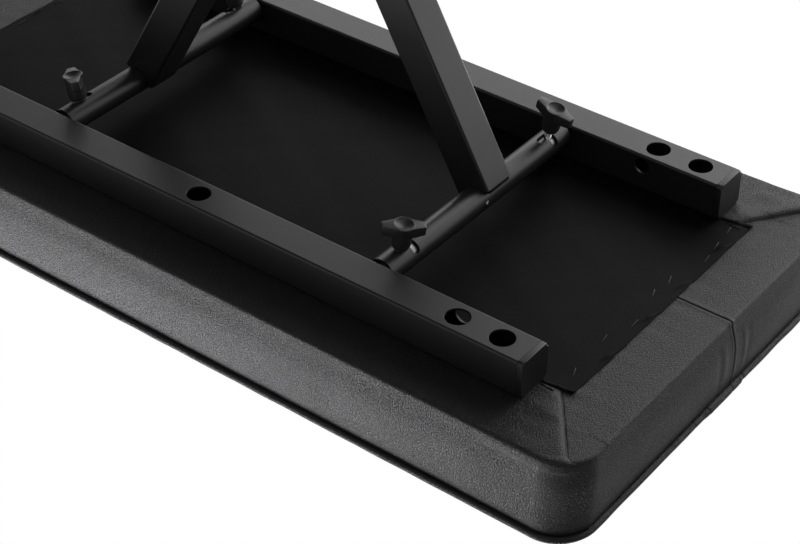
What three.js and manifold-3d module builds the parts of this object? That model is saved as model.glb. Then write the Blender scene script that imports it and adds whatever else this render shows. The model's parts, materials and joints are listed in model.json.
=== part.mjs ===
// Folding keyboard bench: a padded seat on two square rails, carried by a scissor of two welded frames.
// Each frame is a round cross tube, a square leg and a foot bar. A locking pin slides in each end of the
// cross tube, and a wing knob's screw stands in the pin through an L-shaped slot in the tube.
// Millimetres, +Z up, +X along the seat, the bench open on its feet, the origin on the floor below its middle.

import * as THREE from 'three';
import { mergeVertices } from 'three/addons/utils/BufferGeometryUtils.js';
import Module from 'manifold-3d';

const wasm = await Module();
wasm.setup();

// Seat
const seatLength = 618.4;
const seatWidth = 310.8;
const seatCornerRadius = 26;
const bandHeight = 57;
const crownHeight = 10;
const crownRun = 122;
const bandBulgeDepth = 0.8;
const hemRadius = 4;
const coverThickness = 1.2;
const lipWidthOnEnds = 50;
const lipWidthOnSides = 66;
const pipingRadius = 2.5;
const pipingInset = 1.3;
const boardThickness = 15;
const boardInset = 6.6;
const softGap = 0.3;
const stackGap = 0.2;

// Rails and their end caps
const railWidth = 25;
const railSetIn = 63.1;
const railLength = seatLength - 2 * railSetIn;
const railFromSide = 34.55;
const railSpan = seatWidth - 2 * railFromSide;
const railWall = 1.5;
const railCornerRadius = 2;
const accessHoleRadius = 7.75;
const accessFromEnd = 18.5;
const accessPitch = 30.9;
const capFlange = 4.1;
const capProud = 0.2;
const capPlugDepth = 9;
const capWall = 1.8;

// Liner cloth, tucked under the rails along both sides
const clothSetIn = 40;
const clothLength = seatLength - 2 * clothSetIn;
const clothUnderRail = 4.15;
const clothWidth = railSpan - 2 * railWidth + 2 * clothUnderRail;
const clothThickness = 0.8;
const clothCornerRadius = 8;

// Seat screws, driven through the access holes
const seatScrewRadius = 2.5;
const seatScrewHeadRadius = 5;
const seatScrewHeadHeight = 3.4;
const seatScrewReach = 12;
const seatScrewClearance = 0.5;

// Scissor frames
const tubeSpread = 262;
const legAngle = THREE.MathUtils.degToRad(30);
const tubeRadius = 9;
const tubeWall = 1.5;
const tubeDepthInRail = 8;
const lowSettingShift = 61.6;
const tubeEndGap = 2;
const legWidth = 25;
const legWall = 1.5;
const legCornerRadius = 2;
const legSpacing = 1.6;
const legStartAboveTube = 3.6;
const legStartAboveBar = 5;
const footBarRadius = 12.5;
const footBarWall = 1.5;
const footBarLength = 292;
const footCapRadius = 15.2;
const footCapLength = 34;
const footCapEnd = 4;
const footCapFlat = 0.8;
const footCapRim = 1.2;
const footCapRimWidth = 5;
const weldGap = 0.3;
const runningGap = 0.3;

// Centre pivot
const pivotRadius = 4;
const pivotHeadAcross = 13;
const pivotHeadHeight = 5.3;
const pivotThreadLength = 2.5;
const nutHeight = 7.8;
const nutCollar = 2.4;
const washerRadius = 8;
const washerThickness = 1.2;
const bushRadius = 6.4;

// Locking pins, knobs and their screws
const pinBodyLength = 32;
const pinBodySetback = 2;
const pinNoseRadius = 5;
const pinInRail = 4;
const pinChamfer = 1;
const openPinShortfall = 0.5;
const screwFromTubeEnd = 16.2;
const pinTravel = 8.2;
const knobScrewRadius = 2.5;
const slotWidth = 5.6;
const branchTurn = THREE.MathUtils.degToRad(42);
const innerBranchTilt = THREE.MathUtils.degToRad(8);
const outerBranchTilt = THREE.MathUtils.degToRad(12);
const knobHeight = 17.4;
const knobNeckRadius = 6;
const knobRimRadius = 6.6;
const knobFootRadius = 4.5;
const knobFootHeight = 2.4;
const knobDishDepth = 1.7;
const knobRimWidth = 0.8;
const knobBoreDepth = 9;
const wingSpan = 27.6;
const wingHeight = 7.2;
const wingBelowRim = 0.9;
const wingTipWidth = 6;
const wingRootWidth = 9;
const wingBevel = 0.6;
const seatedLift = 1;
const raisedLift = 5.8;

// Facets and one overrun for all cuts
const roundSteps = 24;
const smallSteps = 12;
const cornerSteps = 3;
const seatCornerSteps = 6;
const overrun = 5;

// Levels, from the floor up
const footAxisZ = footCapRadius - footCapFlat;
const halfLeg = tubeSpread / 2 / Math.sin(legAngle);
const pivotZ = footAxisZ + halfLeg * Math.cos(legAngle);
const tubeAxisZ = pivotZ + halfLeg * Math.cos(legAngle);
const railZ = tubeAxisZ - tubeDepthInRail + railWidth / 2;
const railTopZ = railZ + railWidth / 2;
const clothZ = railTopZ + stackGap;
const coverZ = clothZ + clothThickness + stackGap;
const boardZ = coverZ + coverThickness + stackGap;
const boardTopZ = boardZ + boardThickness;
const railY = railSpan / 2 - railWidth / 2;
const tubeEndY = railSpan / 2 - railWidth - tubeEndGap;
const legY = legWidth / 2 + legSpacing / 2;

// Materials
const paint = (color, roughness, metalness) => new THREE.MeshStandardMaterial({ color, roughness, metalness });
const leatherette = paint(0x1b1b1c, 0.55, 0);
const blackCloth = paint(0x0d0d0e, 0.95, 0);
const foamStuff = paint(0xd8cfae, 0.95, 0);
const plywood = paint(0xb08a5a, 0.8, 0);
const powderCoat = paint(0x141415, 0.42, 0.35);
const blackPlastic = paint(0x111112, 0.5, 0);
const rubber = paint(0x0b0b0b, 0.85, 0);
const zincSteel = paint(0xa9abae, 0.35, 1);
const chrome = paint(0xd5d7da, 0.12, 1);

// Booleans on closed geometries
function solidOf(geometry) {
  const bare = geometry.clone();
  bare.deleteAttribute('normal');
  bare.deleteAttribute('uv');
  const merged = mergeVertices(bare);
  const indices = merged.index.array;
  return new wasm.Manifold(new wasm.Mesh({
    numProp: 3,
    vertProperties: new Float32Array(merged.attributes.position.array),
    triVerts: new Uint32Array(indices),
  }));
}

function geometryOf(solid) {
  const mesh = solid.getMesh();
  const geometry = new THREE.BufferGeometry();
  geometry.setAttribute('position', new THREE.BufferAttribute(new Float32Array(mesh.vertProperties), 3));
  geometry.setIndex(new THREE.BufferAttribute(new Uint32Array(mesh.triVerts), 1));
  return geometry;
}

function cut(geometry, tools) {
  let solid = solidOf(geometry);
  for (const tool of tools) solid = solid.subtract(solidOf(tool));
  return geometryOf(solid);
}

function join(first, second) {
  return geometryOf(solidOf(first).add(solidOf(second)));
}

// Rods and drills along each axis, centred on the origin
function rodZ(radius, length, steps = roundSteps) {
  return new THREE.CylinderGeometry(radius, radius, length, steps).rotateX(Math.PI / 2);
}

function rodY(radius, length, steps = roundSteps) {
  return new THREE.CylinderGeometry(radius, radius, length, steps);
}

function roundedOutline(width, height, radius, steps = cornerSteps) {
  const points = [];
  const corners = [[1, 1, 0], [-1, 1, 1], [-1, -1, 2], [1, -1, 3]];
  for (const [sx, sy, quarter] of corners) {
    for (let i = 0; i <= steps; i += 1) {
      const angle = (quarter + i / steps) * Math.PI / 2;
      const x = sx * (width / 2 - radius) + radius * Math.cos(angle);
      const y = sy * (height / 2 - radius) + radius * Math.sin(angle);
      points.push(new THREE.Vector2(x, y));
    }
  }
  return points;
}

function plate(outline, thickness) {
  return new THREE.ExtrudeGeometry(new THREE.Shape(outline), { depth: thickness, bevelEnabled: false });
}

// A square tube along Z, centred on the origin
function squareTube(width, cornerRadius, wall, length) {
  const shape = new THREE.Shape(roundedOutline(width, width, cornerRadius));
  const inner = Math.max(cornerRadius - wall, wall / 2);
  shape.holes.push(new THREE.Path(roundedOutline(width - 2 * wall, width - 2 * wall, inner)));
  const tube = new THREE.ExtrudeGeometry(shape, { depth: length, bevelEnabled: false });
  return tube.translate(0, 0, -length / 2);
}

// A turned piece about Y from points of radius and height; closed at the axis or on itself
function turned(points, steps = roundSteps) {
  return new THREE.LatheGeometry(points.map(([r, y]) => new THREE.Vector2(r, y)), steps);
}

function ring(outer, inner, length, steps = roundSteps) {
  const half = length / 2;
  return turned([[inner, -half], [outer, -half], [outer, half], [inner, half], [inner, -half]], steps);
}

// A lofted skin through rounded rectangles, closed by a flat cap at each end
function loft(rings) {
  const positions = [];
  const indices = [];
  const count = rings[0].length;
  for (const points of rings) {
    for (const point of points) positions.push(point.x, point.y, point.z);
  }
  for (let i = 0; i < rings.length - 1; i += 1) {
    for (let j = 0; j < count; j += 1) {
      const a = i * count + j;
      const b = i * count + (j + 1) % count;
      indices.push(a, b, b + count, a, b + count, a + count);
    }
  }
  const last = (rings.length - 1) * count;
  for (let j = 1; j < count - 1; j += 1) {
    indices.push(0, j + 1, j, last, last + j, last + j + 1);
  }
  const geometry = new THREE.BufferGeometry();
  geometry.setAttribute('position', new THREE.Float32BufferAttribute(positions, 3));
  geometry.setIndex(indices);
  return geometry;
}

// One rounded rectangle of the seat, inset from the band's face at its ends and sides
function seatRing({ insetX, insetY, z }) {
  const radius = Math.max(seatCornerRadius - Math.min(insetX, insetY), hemRadius / 2);
  const outline = roundedOutline(seatLength - 2 * insetX, seatWidth - 2 * insetY, radius, seatCornerSteps);
  return outline.map((point) => new THREE.Vector3(point.x, point.y, z));
}

// The cover's outside from its hem up to the crown, as inset and height above the underside
const hemSteps = 3;
const bandRowShares = [1 / 3, 2 / 3];
const grooveDepth = pipingInset + pipingRadius + softGap;
const grooveDepthShares = [0, 0.36, 0.95, 1, 1, 0.8];
const grooveHeightShares = [-3.4, -2.2, -1.3, -0.5, 0.5, 1.5];
const crownRunShares = [0.035, 0.09, 0.2, 0.4, 0.68, 1];
const crownEdgeDepth = grooveDepth * grooveDepthShares.at(-1);
const crownEdgeHeight = bandHeight + grooveHeightShares.at(-1) * pipingRadius;
const crownRise = bandHeight + crownHeight - crownEdgeHeight;

// How full the crown is at a distance from one edge, from 0 at the piping to 1 where it is flat
function fullness(distance) {
  const share = Math.min(Math.max((distance - crownEdgeDepth) / (crownRun - crownEdgeDepth), 0), 1);
  return 1 - (1 - share) ** 3;
}

// A ring of the crown: it falls towards both edges at once, so its corners sink and it has no hips
function crownRing({ inset, z }) {
  const ring = seatRing({ insetX: inset, insetY: inset, z });
  for (const point of ring) {
    const fromEnd = fullness(seatLength / 2 - Math.abs(point.x));
    const fromSide = fullness(seatWidth / 2 - Math.abs(point.y));
    point.z += crownRise * (fromEnd * fromSide - fullness(inset));
  }
  return ring;
}

function coverProfile() {
  const profile = [];
  for (let i = 0; i <= hemSteps; i += 1) {
    const angle = i / hemSteps * Math.PI / 2;
    profile.push([hemRadius * (1 - Math.sin(angle)), hemRadius * (1 - Math.cos(angle))]);
  }
  for (const share of bandRowShares) profile.push([-bandBulgeDepth, bandHeight * share]);
  grooveDepthShares.forEach((share, i) => {
    profile.push([grooveDepth * share, bandHeight + grooveHeightShares[i] * pipingRadius]);
  });
  for (const share of crownRunShares) {
    const inset = crownEdgeDepth + (crownRun - crownEdgeDepth) * share;
    profile.push([inset, crownEdgeHeight + crownRise * fullness(inset)]);
  }
  return profile;
}

// The same line moved inwards by a distance, square to itself
function insetProfile(profile, distance) {
  return profile.map(([x, z], i) => {
    const before = profile[Math.max(i - 1, 0)];
    const after = profile[Math.min(i + 1, profile.length - 1)];
    const along = new THREE.Vector2(after[0] - before[0], after[1] - before[1]).normalize();
    if (i === 0) along.set(-1, 0);
    if (i === profile.length - 1) along.set(1, 0);
    return [x + along.y * distance, z - along.x * distance];
  });
}

function seatCover() {
  const outside = coverProfile();
  const inside = insetProfile(outside, coverThickness);
  const level = ([inset, z]) => crownRing({ inset, z: coverZ + z });
  const rings = inside.slice().reverse().map(level);
  rings.push(seatRing({ insetX: lipWidthOnEnds, insetY: lipWidthOnSides, z: coverZ + coverThickness }));
  rings.push(seatRing({ insetX: lipWidthOnEnds, insetY: lipWidthOnSides, z: coverZ }));
  rings.push(...outside.map(level));
  return loft(rings);
}

function seatFoam() {
  const inside = insetProfile(coverProfile(), coverThickness + softGap);
  const above = inside.filter(([, z]) => coverZ + z > boardTopZ + stackGap);
  const foot = above[0][0];
  const rings = [seatRing({ insetX: foot, insetY: foot, z: boardTopZ + stackGap })];
  for (const [inset, z] of above) rings.push(crownRing({ inset, z: coverZ + z }));
  return loft(rings);
}

function seatPiping() {
  const path = seatRing({ insetX: pipingInset, insetY: pipingInset, z: coverZ + bandHeight });
  const sides = 8;
  const positions = [];
  const indices = [];
  path.forEach((point, i) => {
    const before = path[(i + path.length - 1) % path.length];
    const after = path[(i + 1) % path.length];
    const along = after.clone().sub(before).normalize();
    const outward = new THREE.Vector3(along.y, -along.x, 0);
    for (let j = 0; j < sides; j += 1) {
      const angle = j / sides * 2 * Math.PI;
      const spot = point.clone().addScaledVector(outward, pipingRadius * Math.cos(angle));
      spot.z += pipingRadius * Math.sin(angle);
      positions.push(spot.x, spot.y, spot.z);
      const a = i * sides + j;
      const b = i * sides + (j + 1) % sides;
      const c = ((i + 1) % path.length) * sides + (j + 1) % sides;
      const d = ((i + 1) % path.length) * sides + j;
      indices.push(a, d, c, a, c, b);
    }
  });
  const geometry = new THREE.BufferGeometry();
  geometry.setAttribute('position', new THREE.Float32BufferAttribute(positions, 3));
  geometry.setIndex(indices);
  return geometry;
}

const bench = new THREE.Group();

function place(name, geometry, material, parent, x, y, z) {
  const mesh = new THREE.Mesh(geometry, material);
  mesh.name = name;
  mesh.position.set(x, y, z);
  parent.add(mesh);
  return mesh;
}

// Seat screws: a pan head and a shank along Z, the head's seat at the origin and the point upwards
const accessPlaces = [
  -(railLength / 2 - accessFromEnd),
  -(railLength / 2 - accessFromEnd - accessPitch),
  0,
  railLength / 2 - accessFromEnd - accessPitch,
  railLength / 2 - accessFromEnd,
];
const seatScrewZ = railTopZ - railWall - stackGap;

function seatScrew() {
  const length = boardZ - seatScrewZ + seatScrewReach;
  const profile = [
    [0, -seatScrewHeadHeight],
    [seatScrewHeadRadius * 0.8, -seatScrewHeadHeight * 0.8],
    [seatScrewHeadRadius, 0],
    [seatScrewRadius, 0],
    [seatScrewRadius, length - seatScrewRadius],
    [0, length],
  ];
  return turned(profile, smallSteps).rotateX(Math.PI / 2);
}

function screwDrill(x, y, z) {
  const radius = seatScrewRadius + seatScrewClearance;
  return rodZ(radius, 4 * seatScrewReach, smallSteps).translate(x, y, z);
}

function addSeat() {
  const drills = [];
  for (const side of [-1, 1]) {
    for (const x of accessPlaces) drills.push(screwDrill(x, side * railY, seatScrewZ));
  }
  const boardOutline = roundedOutline(
    seatLength - 2 * boardInset, seatWidth - 2 * boardInset, seatCornerRadius - boardInset, cornerSteps);
  const board = plate(boardOutline, boardThickness).translate(0, 0, boardZ);
  place('seat_board', cut(board, drills), plywood, bench, 0, 0, 0);
  place('seat_foam', seatFoam(), foamStuff, bench, 0, 0, 0);
  place('seat_cover', cut(seatCover(), drills), leatherette, bench, 0, 0, 0);
  place('seat_piping', seatPiping(), leatherette, bench, 0, 0, 0);
  const cloth = plate(roundedOutline(clothLength, clothWidth, clothCornerRadius), clothThickness);
  place('dust_cloth', cloth, blackCloth, bench, 0, 0, clothZ);
  for (const side of [-1, 1]) {
    accessPlaces.forEach((x, i) => {
      const name = `seat_screw_${side < 0 ? 'front' : 'back'}_${i + 1}`;
      place(name, seatScrew(), zincSteel, bench, x, side * railY, seatScrewZ);
    });
  }
}

// Rails along X: access holes below, screw holes above, and in the inner wall the pin holes of both heights
function rail(side) {
  const tube = squareTube(railWidth, railCornerRadius, railWall, railLength).rotateY(Math.PI / 2);
  const lower = -railWidth / 2;
  const tools = [];
  for (const x of accessPlaces) {
    tools.push(rodZ(accessHoleRadius, 2 * overrun).translate(x, 0, lower));
    tools.push(screwDrill(x, 0, railWidth / 2 + seatScrewReach));
  }
  const pinHoleRadius = pinNoseRadius + runningGap;
  for (const end of [-1, 1]) {
    for (const shift of [0, lowSettingShift]) {
      const drill = rodY(pinHoleRadius, 2 * overrun);
      tools.push(drill.translate(end * (tubeSpread / 2 + shift), side * lower, lower + tubeDepthInRail));
    }
  }
  return cut(tube, tools);
}

// A cap's flange and hollow plug along X, the flange's inner face at the origin and its outer face at +X
function railCap() {
  const flangeWidth = railWidth + 2 * capProud;
  const outline = roundedOutline(flangeWidth, flangeWidth, railCornerRadius + capProud);
  const bevel = capFlange / 8;
  const flange = new THREE.ExtrudeGeometry(new THREE.Shape(roundedOutline(
    flangeWidth - 2 * bevel, flangeWidth - 2 * bevel, railCornerRadius + capProud - bevel)), {
    depth: capFlange - bevel, bevelEnabled: true, bevelThickness: bevel, bevelSize: bevel, bevelSegments: 2,
  });
  const foot = plate(outline, capFlange / 2);
  const bore = railWidth - 2 * railWall - 2 * weldGap;
  const plugShape = new THREE.Shape(roundedOutline(bore, bore, railWall));
  plugShape.holes.push(new THREE.Path(roundedOutline(bore - 2 * capWall, bore - 2 * capWall, railWall / 2)));
  const plug = new THREE.ExtrudeGeometry(plugShape, { depth: capPlugDepth + capFlange / 2, bevelEnabled: false });
  plug.translate(0, 0, -capPlugDepth);
  const clipped = cut(flange, [plate(roundedOutline(2 * flangeWidth, 2 * flangeWidth, bevel), overrun)
    .translate(0, 0, weldGap - overrun)]);
  const seatPlate = foot.translate(0, 0, weldGap);
  return join(join(clipped, seatPlate), plug).rotateY(Math.PI / 2);
}

function addRails() {
  for (const side of [-1, 1]) {
    const word = side < 0 ? 'front' : 'back';
    place(`rail_${word}`, rail(side), powderCoat, bench, 0, side * railY, railZ);
    for (const end of [-1, 1]) {
      const name = `rail_cap_${word}_${end < 0 ? 'left' : 'right'}`;
      const cap = place(name, railCap(), blackPlastic, bench, end * railLength / 2, side * railY, railZ);
      if (end < 0) cap.rotation.z = Math.PI;
    }
  }
}

// Cross tube along Y about its own axis. Angles are measured from straight down towards the outside.
function turnedTool(tool, angle) {
  return tool.rotateY(Math.PI - angle);
}

function slotTools(end, tilt, branchAtInnerEnd) {
  const outerY = end * (tubeEndY - screwFromTubeEnd);
  const innerY = outerY - end * pinTravel;
  const reach = tubeRadius + overrun;
  const tools = [];
  const slot = new THREE.Shape(roundedOutline(slotWidth, pinTravel + slotWidth, slotWidth / 2));
  const run = new THREE.ExtrudeGeometry(slot, { depth: reach, bevelEnabled: false });
  run.translate(0, (outerY + innerY) / 2, tubeRadius / 2);
  tools.push(turnedTool(run, tilt));
  const branchY = branchAtInnerEnd ? innerY : outerY;
  const sector = new THREE.Shape();
  sector.moveTo(0, 0);
  sector.absarc(0, 0, reach, Math.PI / 2, Math.PI / 2 + branchTurn, false);
  sector.lineTo(0, 0);
  const wedge = new THREE.ExtrudeGeometry(sector, { depth: slotWidth, bevelEnabled: false, curveSegments: smallSteps });
  wedge.rotateX(Math.PI / 2).translate(0, branchY + slotWidth / 2, 0);
  tools.push(turnedTool(cut(wedge, [rodY(tubeRadius / 2, 4 * tubeEndY)]), tilt));
  const endRound = rodZ(slotWidth / 2, reach, smallSteps).translate(0, branchY, reach / 2 + tubeRadius / 2);
  tools.push(turnedTool(endRound, tilt + branchTurn));
  return tools;
}

function crossTube() {
  const tube = ring(tubeRadius, tubeRadius - tubeWall, 2 * tubeEndY, 2 * smallSteps);
  return cut(tube, [...slotTools(1, innerBranchTilt, true), ...slotTools(-1, outerBranchTilt, false)]);
}

// Leg along Z about the pivot, coped over the cross tube above and the foot bar below
function leg() {
  const top = halfLeg - legStartAboveTube;
  const bottom = halfLeg - legStartAboveBar;
  const tube = squareTube(legWidth, legCornerRadius, legWall, top + bottom).translate(0, 0, (top - bottom) / 2);
  const copes = [
    rodY(tubeRadius + weldGap, 2 * legWidth, 2 * smallSteps).translate(0, 0, halfLeg),
    rodY(footBarRadius + weldGap, 2 * legWidth, 2 * smallSteps).translate(0, 0, -halfLeg),
    rodY(pivotRadius + runningGap, 2 * legWidth),
  ];
  return cut(tube, copes);
}

// Rubber cap on a foot bar's end, along Y with its closed end at +Y, a flat tread below
function footCap() {
  const bore = footBarRadius + weldGap;
  const outer = footCapRadius;
  const rim = footCapRadius + footCapRim;
  const open = footCapEnd - footCapLength;
  const profile = [
    [0, 0],
    [bore, 0],
    [bore, open],
    [outer - footCapFlat, open],
    [outer, open + footCapFlat],
    [outer, -footCapRimWidth],
    [outer, footCapEnd - footCapRim],
    [outer - footCapRim, footCapEnd],
    [0, footCapEnd],
  ];
  const ribs = turned([[bore, -footCapRimWidth], [rim, -footCapRimWidth / 2], [rim, 0], [outer, footCapRimWidth / 2],
    [bore, footCapRimWidth / 2], [bore, -footCapRimWidth]]);
  const below = plate(roundedOutline(4 * outer, 4 * footCapLength, footCapRim), overrun)
    .translate(0, 0, -footAxisZ - overrun);
  return cut(join(turned(profile), ribs), [below]);
}

// Locking pin along Y, its screw at the origin and its nose towards +Y, tapped along Z
function lockingPin(noseEndY) {
  const front = screwFromTubeEnd - pinBodySetback;
  const back = front - pinBodyLength;
  const radius = tubeRadius - tubeWall - runningGap;
  const nose = noseEndY - (tubeEndY - screwFromTubeEnd);
  const profile = [
    [0, back],
    [radius - pinChamfer, back],
    [radius, back + pinChamfer],
    [radius, front - pinChamfer],
    [radius - pinChamfer, front],
    [pinNoseRadius, front],
    [pinNoseRadius, nose - pinChamfer],
    [pinNoseRadius - pinChamfer, nose],
    [0, nose],
  ];
  const tapped = rodZ(knobScrewRadius + runningGap, radius + overrun, smallSteps)
    .translate(0, 0, (radius + overrun) / 2 - knobScrewRadius);
  return cut(turned(profile), [tapped]);
}

// Knob screw along Z from the pin's middle up into the knob
function knobScrew(lift) {
  const low = lift;
  const high = tubeRadius + lift + knobBoreDepth - runningGap;
  const profile = [
    [0, low],
    [knobScrewRadius / 2, low],
    [knobScrewRadius, low + knobScrewRadius / 2],
    [knobScrewRadius, high],
    [0, high],
  ];
  return turned(profile, smallSteps).rotateX(Math.PI / 2);
}

// Two-wing knob along Z: a round body with a dished top and a bored foot, and a wing on each side
function wingKnob() {
  const bore = knobScrewRadius + runningGap;
  const rimTop = knobHeight;
  const wingTop = rimTop - wingBelowRim;
  const wingBottom = wingTop - wingHeight;
  const dish = knobRimRadius - knobRimWidth;
  const profile = [
    [0, knobBoreDepth],
    [bore, knobBoreDepth],
    [bore, 0],
    [knobFootRadius, 0],
    [knobNeckRadius, knobFootHeight],
    [knobNeckRadius, wingBottom],
    [knobRimRadius, rimTop - knobRimWidth],
    [knobRimRadius - knobRimWidth / 2, rimTop],
    [dish, rimTop],
    [dish * 0.6, rimTop - knobDishDepth * 0.75],
    [0, rimTop - knobDishDepth],
  ];
  const body = turned(profile, 24).rotateX(Math.PI / 2);
  const tip = wingSpan / 2 - wingBevel;
  const tipHalf = wingTipWidth / 2 - wingBevel;
  const rootHalf = wingRootWidth / 2 - wingBevel;
  const outline = [[tip, -tipHalf], [tip, tipHalf], [knobFootRadius, rootHalf], [-knobFootRadius, rootHalf],
    [-tip, tipHalf], [-tip, -tipHalf], [-knobFootRadius, -rootHalf], [knobFootRadius, -rootHalf]];
  const shape = new THREE.Shape(outline.map(([x, y]) => new THREE.Vector2(x, y)));
  const wing = new THREE.ExtrudeGeometry(shape, {
    depth: wingHeight - 2 * wingBevel, bevelEnabled: true, bevelThickness: wingBevel, bevelSize: wingBevel,
    bevelSegments: 1,
  }).translate(0, 0, wingBottom + wingBevel);
  const clearOfDish = rodZ(dish, overrun, 24).translate(0, 0, rimTop - knobDishDepth + overrun / 2);
  const wingOutside = cut(wing, [clearOfDish, rodZ(knobFootRadius, 2 * knobHeight, 24)]);
  return join(body, wingOutside);
}

// One frame with its tube at +X: B is the same weldment turned half round
function addFrame(word, turn, ends) {
  const frame = new THREE.Group();
  frame.rotation.z = turn;
  bench.add(frame);
  const tubeX = tubeSpread / 2;
  place(`cross_tube_${word}`, crossTube(), powderCoat, frame, tubeX, 0, tubeAxisZ);
  const strut = place(`leg_${word}`, leg(), powderCoat, frame, 0, -legY, pivotZ);
  strut.rotation.y = legAngle;
  const bar = ring(footBarRadius, footBarRadius - footBarWall, footBarLength);
  place(`foot_bar_${word}`, bar, powderCoat, frame, -tubeX, 0, footAxisZ);
  const bush = ring(bushRadius, pivotRadius + runningGap, legWidth - 2 * legWall - 2 * runningGap, smallSteps);
  place(`pivot_bush_${word}`, bush, zincSteel, frame, 0, -legY, pivotZ);
  for (const end of ends) {
    const capName = `foot_cap_${word}_${end.word}`;
    const cap = place(capName, footCap(), rubber, frame, -tubeX, end.side * footBarLength / 2, footAxisZ);
    cap.position.y += end.side * weldGap;
    if (end.side < 0) cap.rotation.z = Math.PI;
    const holder = new THREE.Group();
    holder.position.set(tubeX, end.side * (tubeEndY - screwFromTubeEnd), tubeAxisZ);
    holder.rotation.y = Math.PI - end.tilt;
    frame.add(holder);
    const tag = `${word}_${end.word}`;
    const pin = place(`locking_pin_${tag}`, lockingPin(end.noseEndY), zincSteel, holder, 0, 0, 0);
    if (end.side < 0) pin.geometry.rotateZ(Math.PI);
    place(`knob_screw_${tag}`, knobScrew(end.lift), chrome, holder, 0, 0, 0);
    const knob = place(`knob_${tag}`, wingKnob(), blackPlastic, holder, 0, 0, tubeRadius + end.lift);
    knob.rotation.z = end.wingTurn;
  }
}

// Centre pivot through both legs along Y
function hexHead(height) {
  const radius = pivotHeadAcross / 2 / Math.cos(Math.PI / 6);
  return new THREE.CylinderGeometry(radius, radius, height, 6);
}

function addPivot() {
  const outside = legY + legWidth / 2;
  const washerY = outside + runningGap + washerThickness / 2;
  const seatY = outside + 2 * runningGap + washerThickness;
  const washer = () => ring(washerRadius, pivotRadius + runningGap, washerThickness);
  place('pivot_washer_front', washer(), zincSteel, bench, 0, -washerY, pivotZ);
  place('pivot_washer_back', washer(), zincSteel, bench, 0, washerY, pivotZ);
  const spacer = ring(washerRadius, pivotRadius + runningGap, legSpacing - 2 * runningGap);
  place('pivot_spacer', spacer, blackPlastic, bench, 0, 0, pivotZ);
  const shankEnd = seatY + nutHeight + pivotThreadLength;
  const shankLength = seatY + shankEnd;
  const shank = rodY(pivotRadius, shankLength).translate(0, (shankEnd - seatY) / 2, 0);
  const head = hexHead(pivotHeadHeight).translate(0, -seatY - pivotHeadHeight / 2, 0);
  place('pivot_bolt', join(shank, head), zincSteel, bench, 0, 0, pivotZ);
  const hexHeight = nutHeight - nutCollar;
  const collarRadius = pivotHeadAcross / 2 - runningGap;
  const collar = rodY(collarRadius, nutHeight).translate(0, seatY + nutHeight / 2, 0);
  const hex = hexHead(hexHeight).translate(0, seatY + hexHeight / 2, 0);
  const bore = rodY(pivotRadius + runningGap, 4 * seatY);
  place('pivot_nut', cut(join(collar, hex), [bore]), zincSteel, bench, 0, 0, pivotZ);
}

const fullNoseY = tubeEndY + tubeEndGap + pinInRail;
const openNoseY = tubeEndY + tubeEndGap - openPinShortfall;
const turns = (degrees) => THREE.MathUtils.degToRad(degrees);

addSeat();
addRails();
addFrame('right', 0, [
  { side: -1, word: 'front', tilt: outerBranchTilt, lift: raisedLift, wingTurn: turns(-13), noseEndY: fullNoseY },
  { side: 1, word: 'back', tilt: innerBranchTilt, lift: seatedLift, wingTurn: turns(37), noseEndY: fullNoseY },
]);
addFrame('left', Math.PI, [
  { side: -1, word: 'back', tilt: outerBranchTilt, lift: seatedLift, wingTurn: turns(-46), noseEndY: openNoseY },
  { side: 1, word: 'front', tilt: innerBranchTilt, lift: seatedLift, wingTurn: turns(20), noseEndY: openNoseY },
]);
addPivot();

export default bench;
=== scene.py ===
"""Folding keyboard bench: the fine surface of its pieces, their finishes, studio and camera. Metres."""
import json
import math
from contextlib import contextmanager

import bmesh
import bpy
import numpy as np
from mathutils import Matrix, Vector


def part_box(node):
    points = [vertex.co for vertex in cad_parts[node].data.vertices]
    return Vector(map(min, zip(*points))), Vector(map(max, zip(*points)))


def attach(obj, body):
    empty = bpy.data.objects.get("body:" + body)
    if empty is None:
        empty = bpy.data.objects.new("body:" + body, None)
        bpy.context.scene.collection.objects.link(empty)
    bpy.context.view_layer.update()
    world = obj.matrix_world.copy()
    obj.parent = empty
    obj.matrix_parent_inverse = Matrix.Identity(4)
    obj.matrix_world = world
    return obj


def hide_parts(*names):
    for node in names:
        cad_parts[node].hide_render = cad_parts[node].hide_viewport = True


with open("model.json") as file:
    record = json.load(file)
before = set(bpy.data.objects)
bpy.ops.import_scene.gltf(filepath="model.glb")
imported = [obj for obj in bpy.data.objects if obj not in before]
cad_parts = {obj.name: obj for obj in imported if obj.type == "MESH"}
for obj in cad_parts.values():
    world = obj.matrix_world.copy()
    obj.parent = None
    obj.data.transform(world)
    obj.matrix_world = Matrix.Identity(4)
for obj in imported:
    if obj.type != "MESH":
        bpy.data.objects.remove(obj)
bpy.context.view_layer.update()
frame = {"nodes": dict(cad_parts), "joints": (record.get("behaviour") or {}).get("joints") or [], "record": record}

bpy.context.scene.view_settings.view_transform = "Standard"
MM = 0.001


# Camera of the photograph: below the seat, looking up at the underside of the bench

IMAGE_WIDTH = 800
FOCAL_PIXELS = 1995.43
SENSOR_WIDTH = 36.0
CAMERA_TARGET = Vector((156.9, 110.4, 445.9)) * MM
CAMERA_DISTANCE = 1139.8 * MM
CAMERA_TURN = math.radians(37.006)
CAMERA_BELOW = math.radians(37.30)
CAMERA_ROLL = math.radians(0.635)


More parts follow.
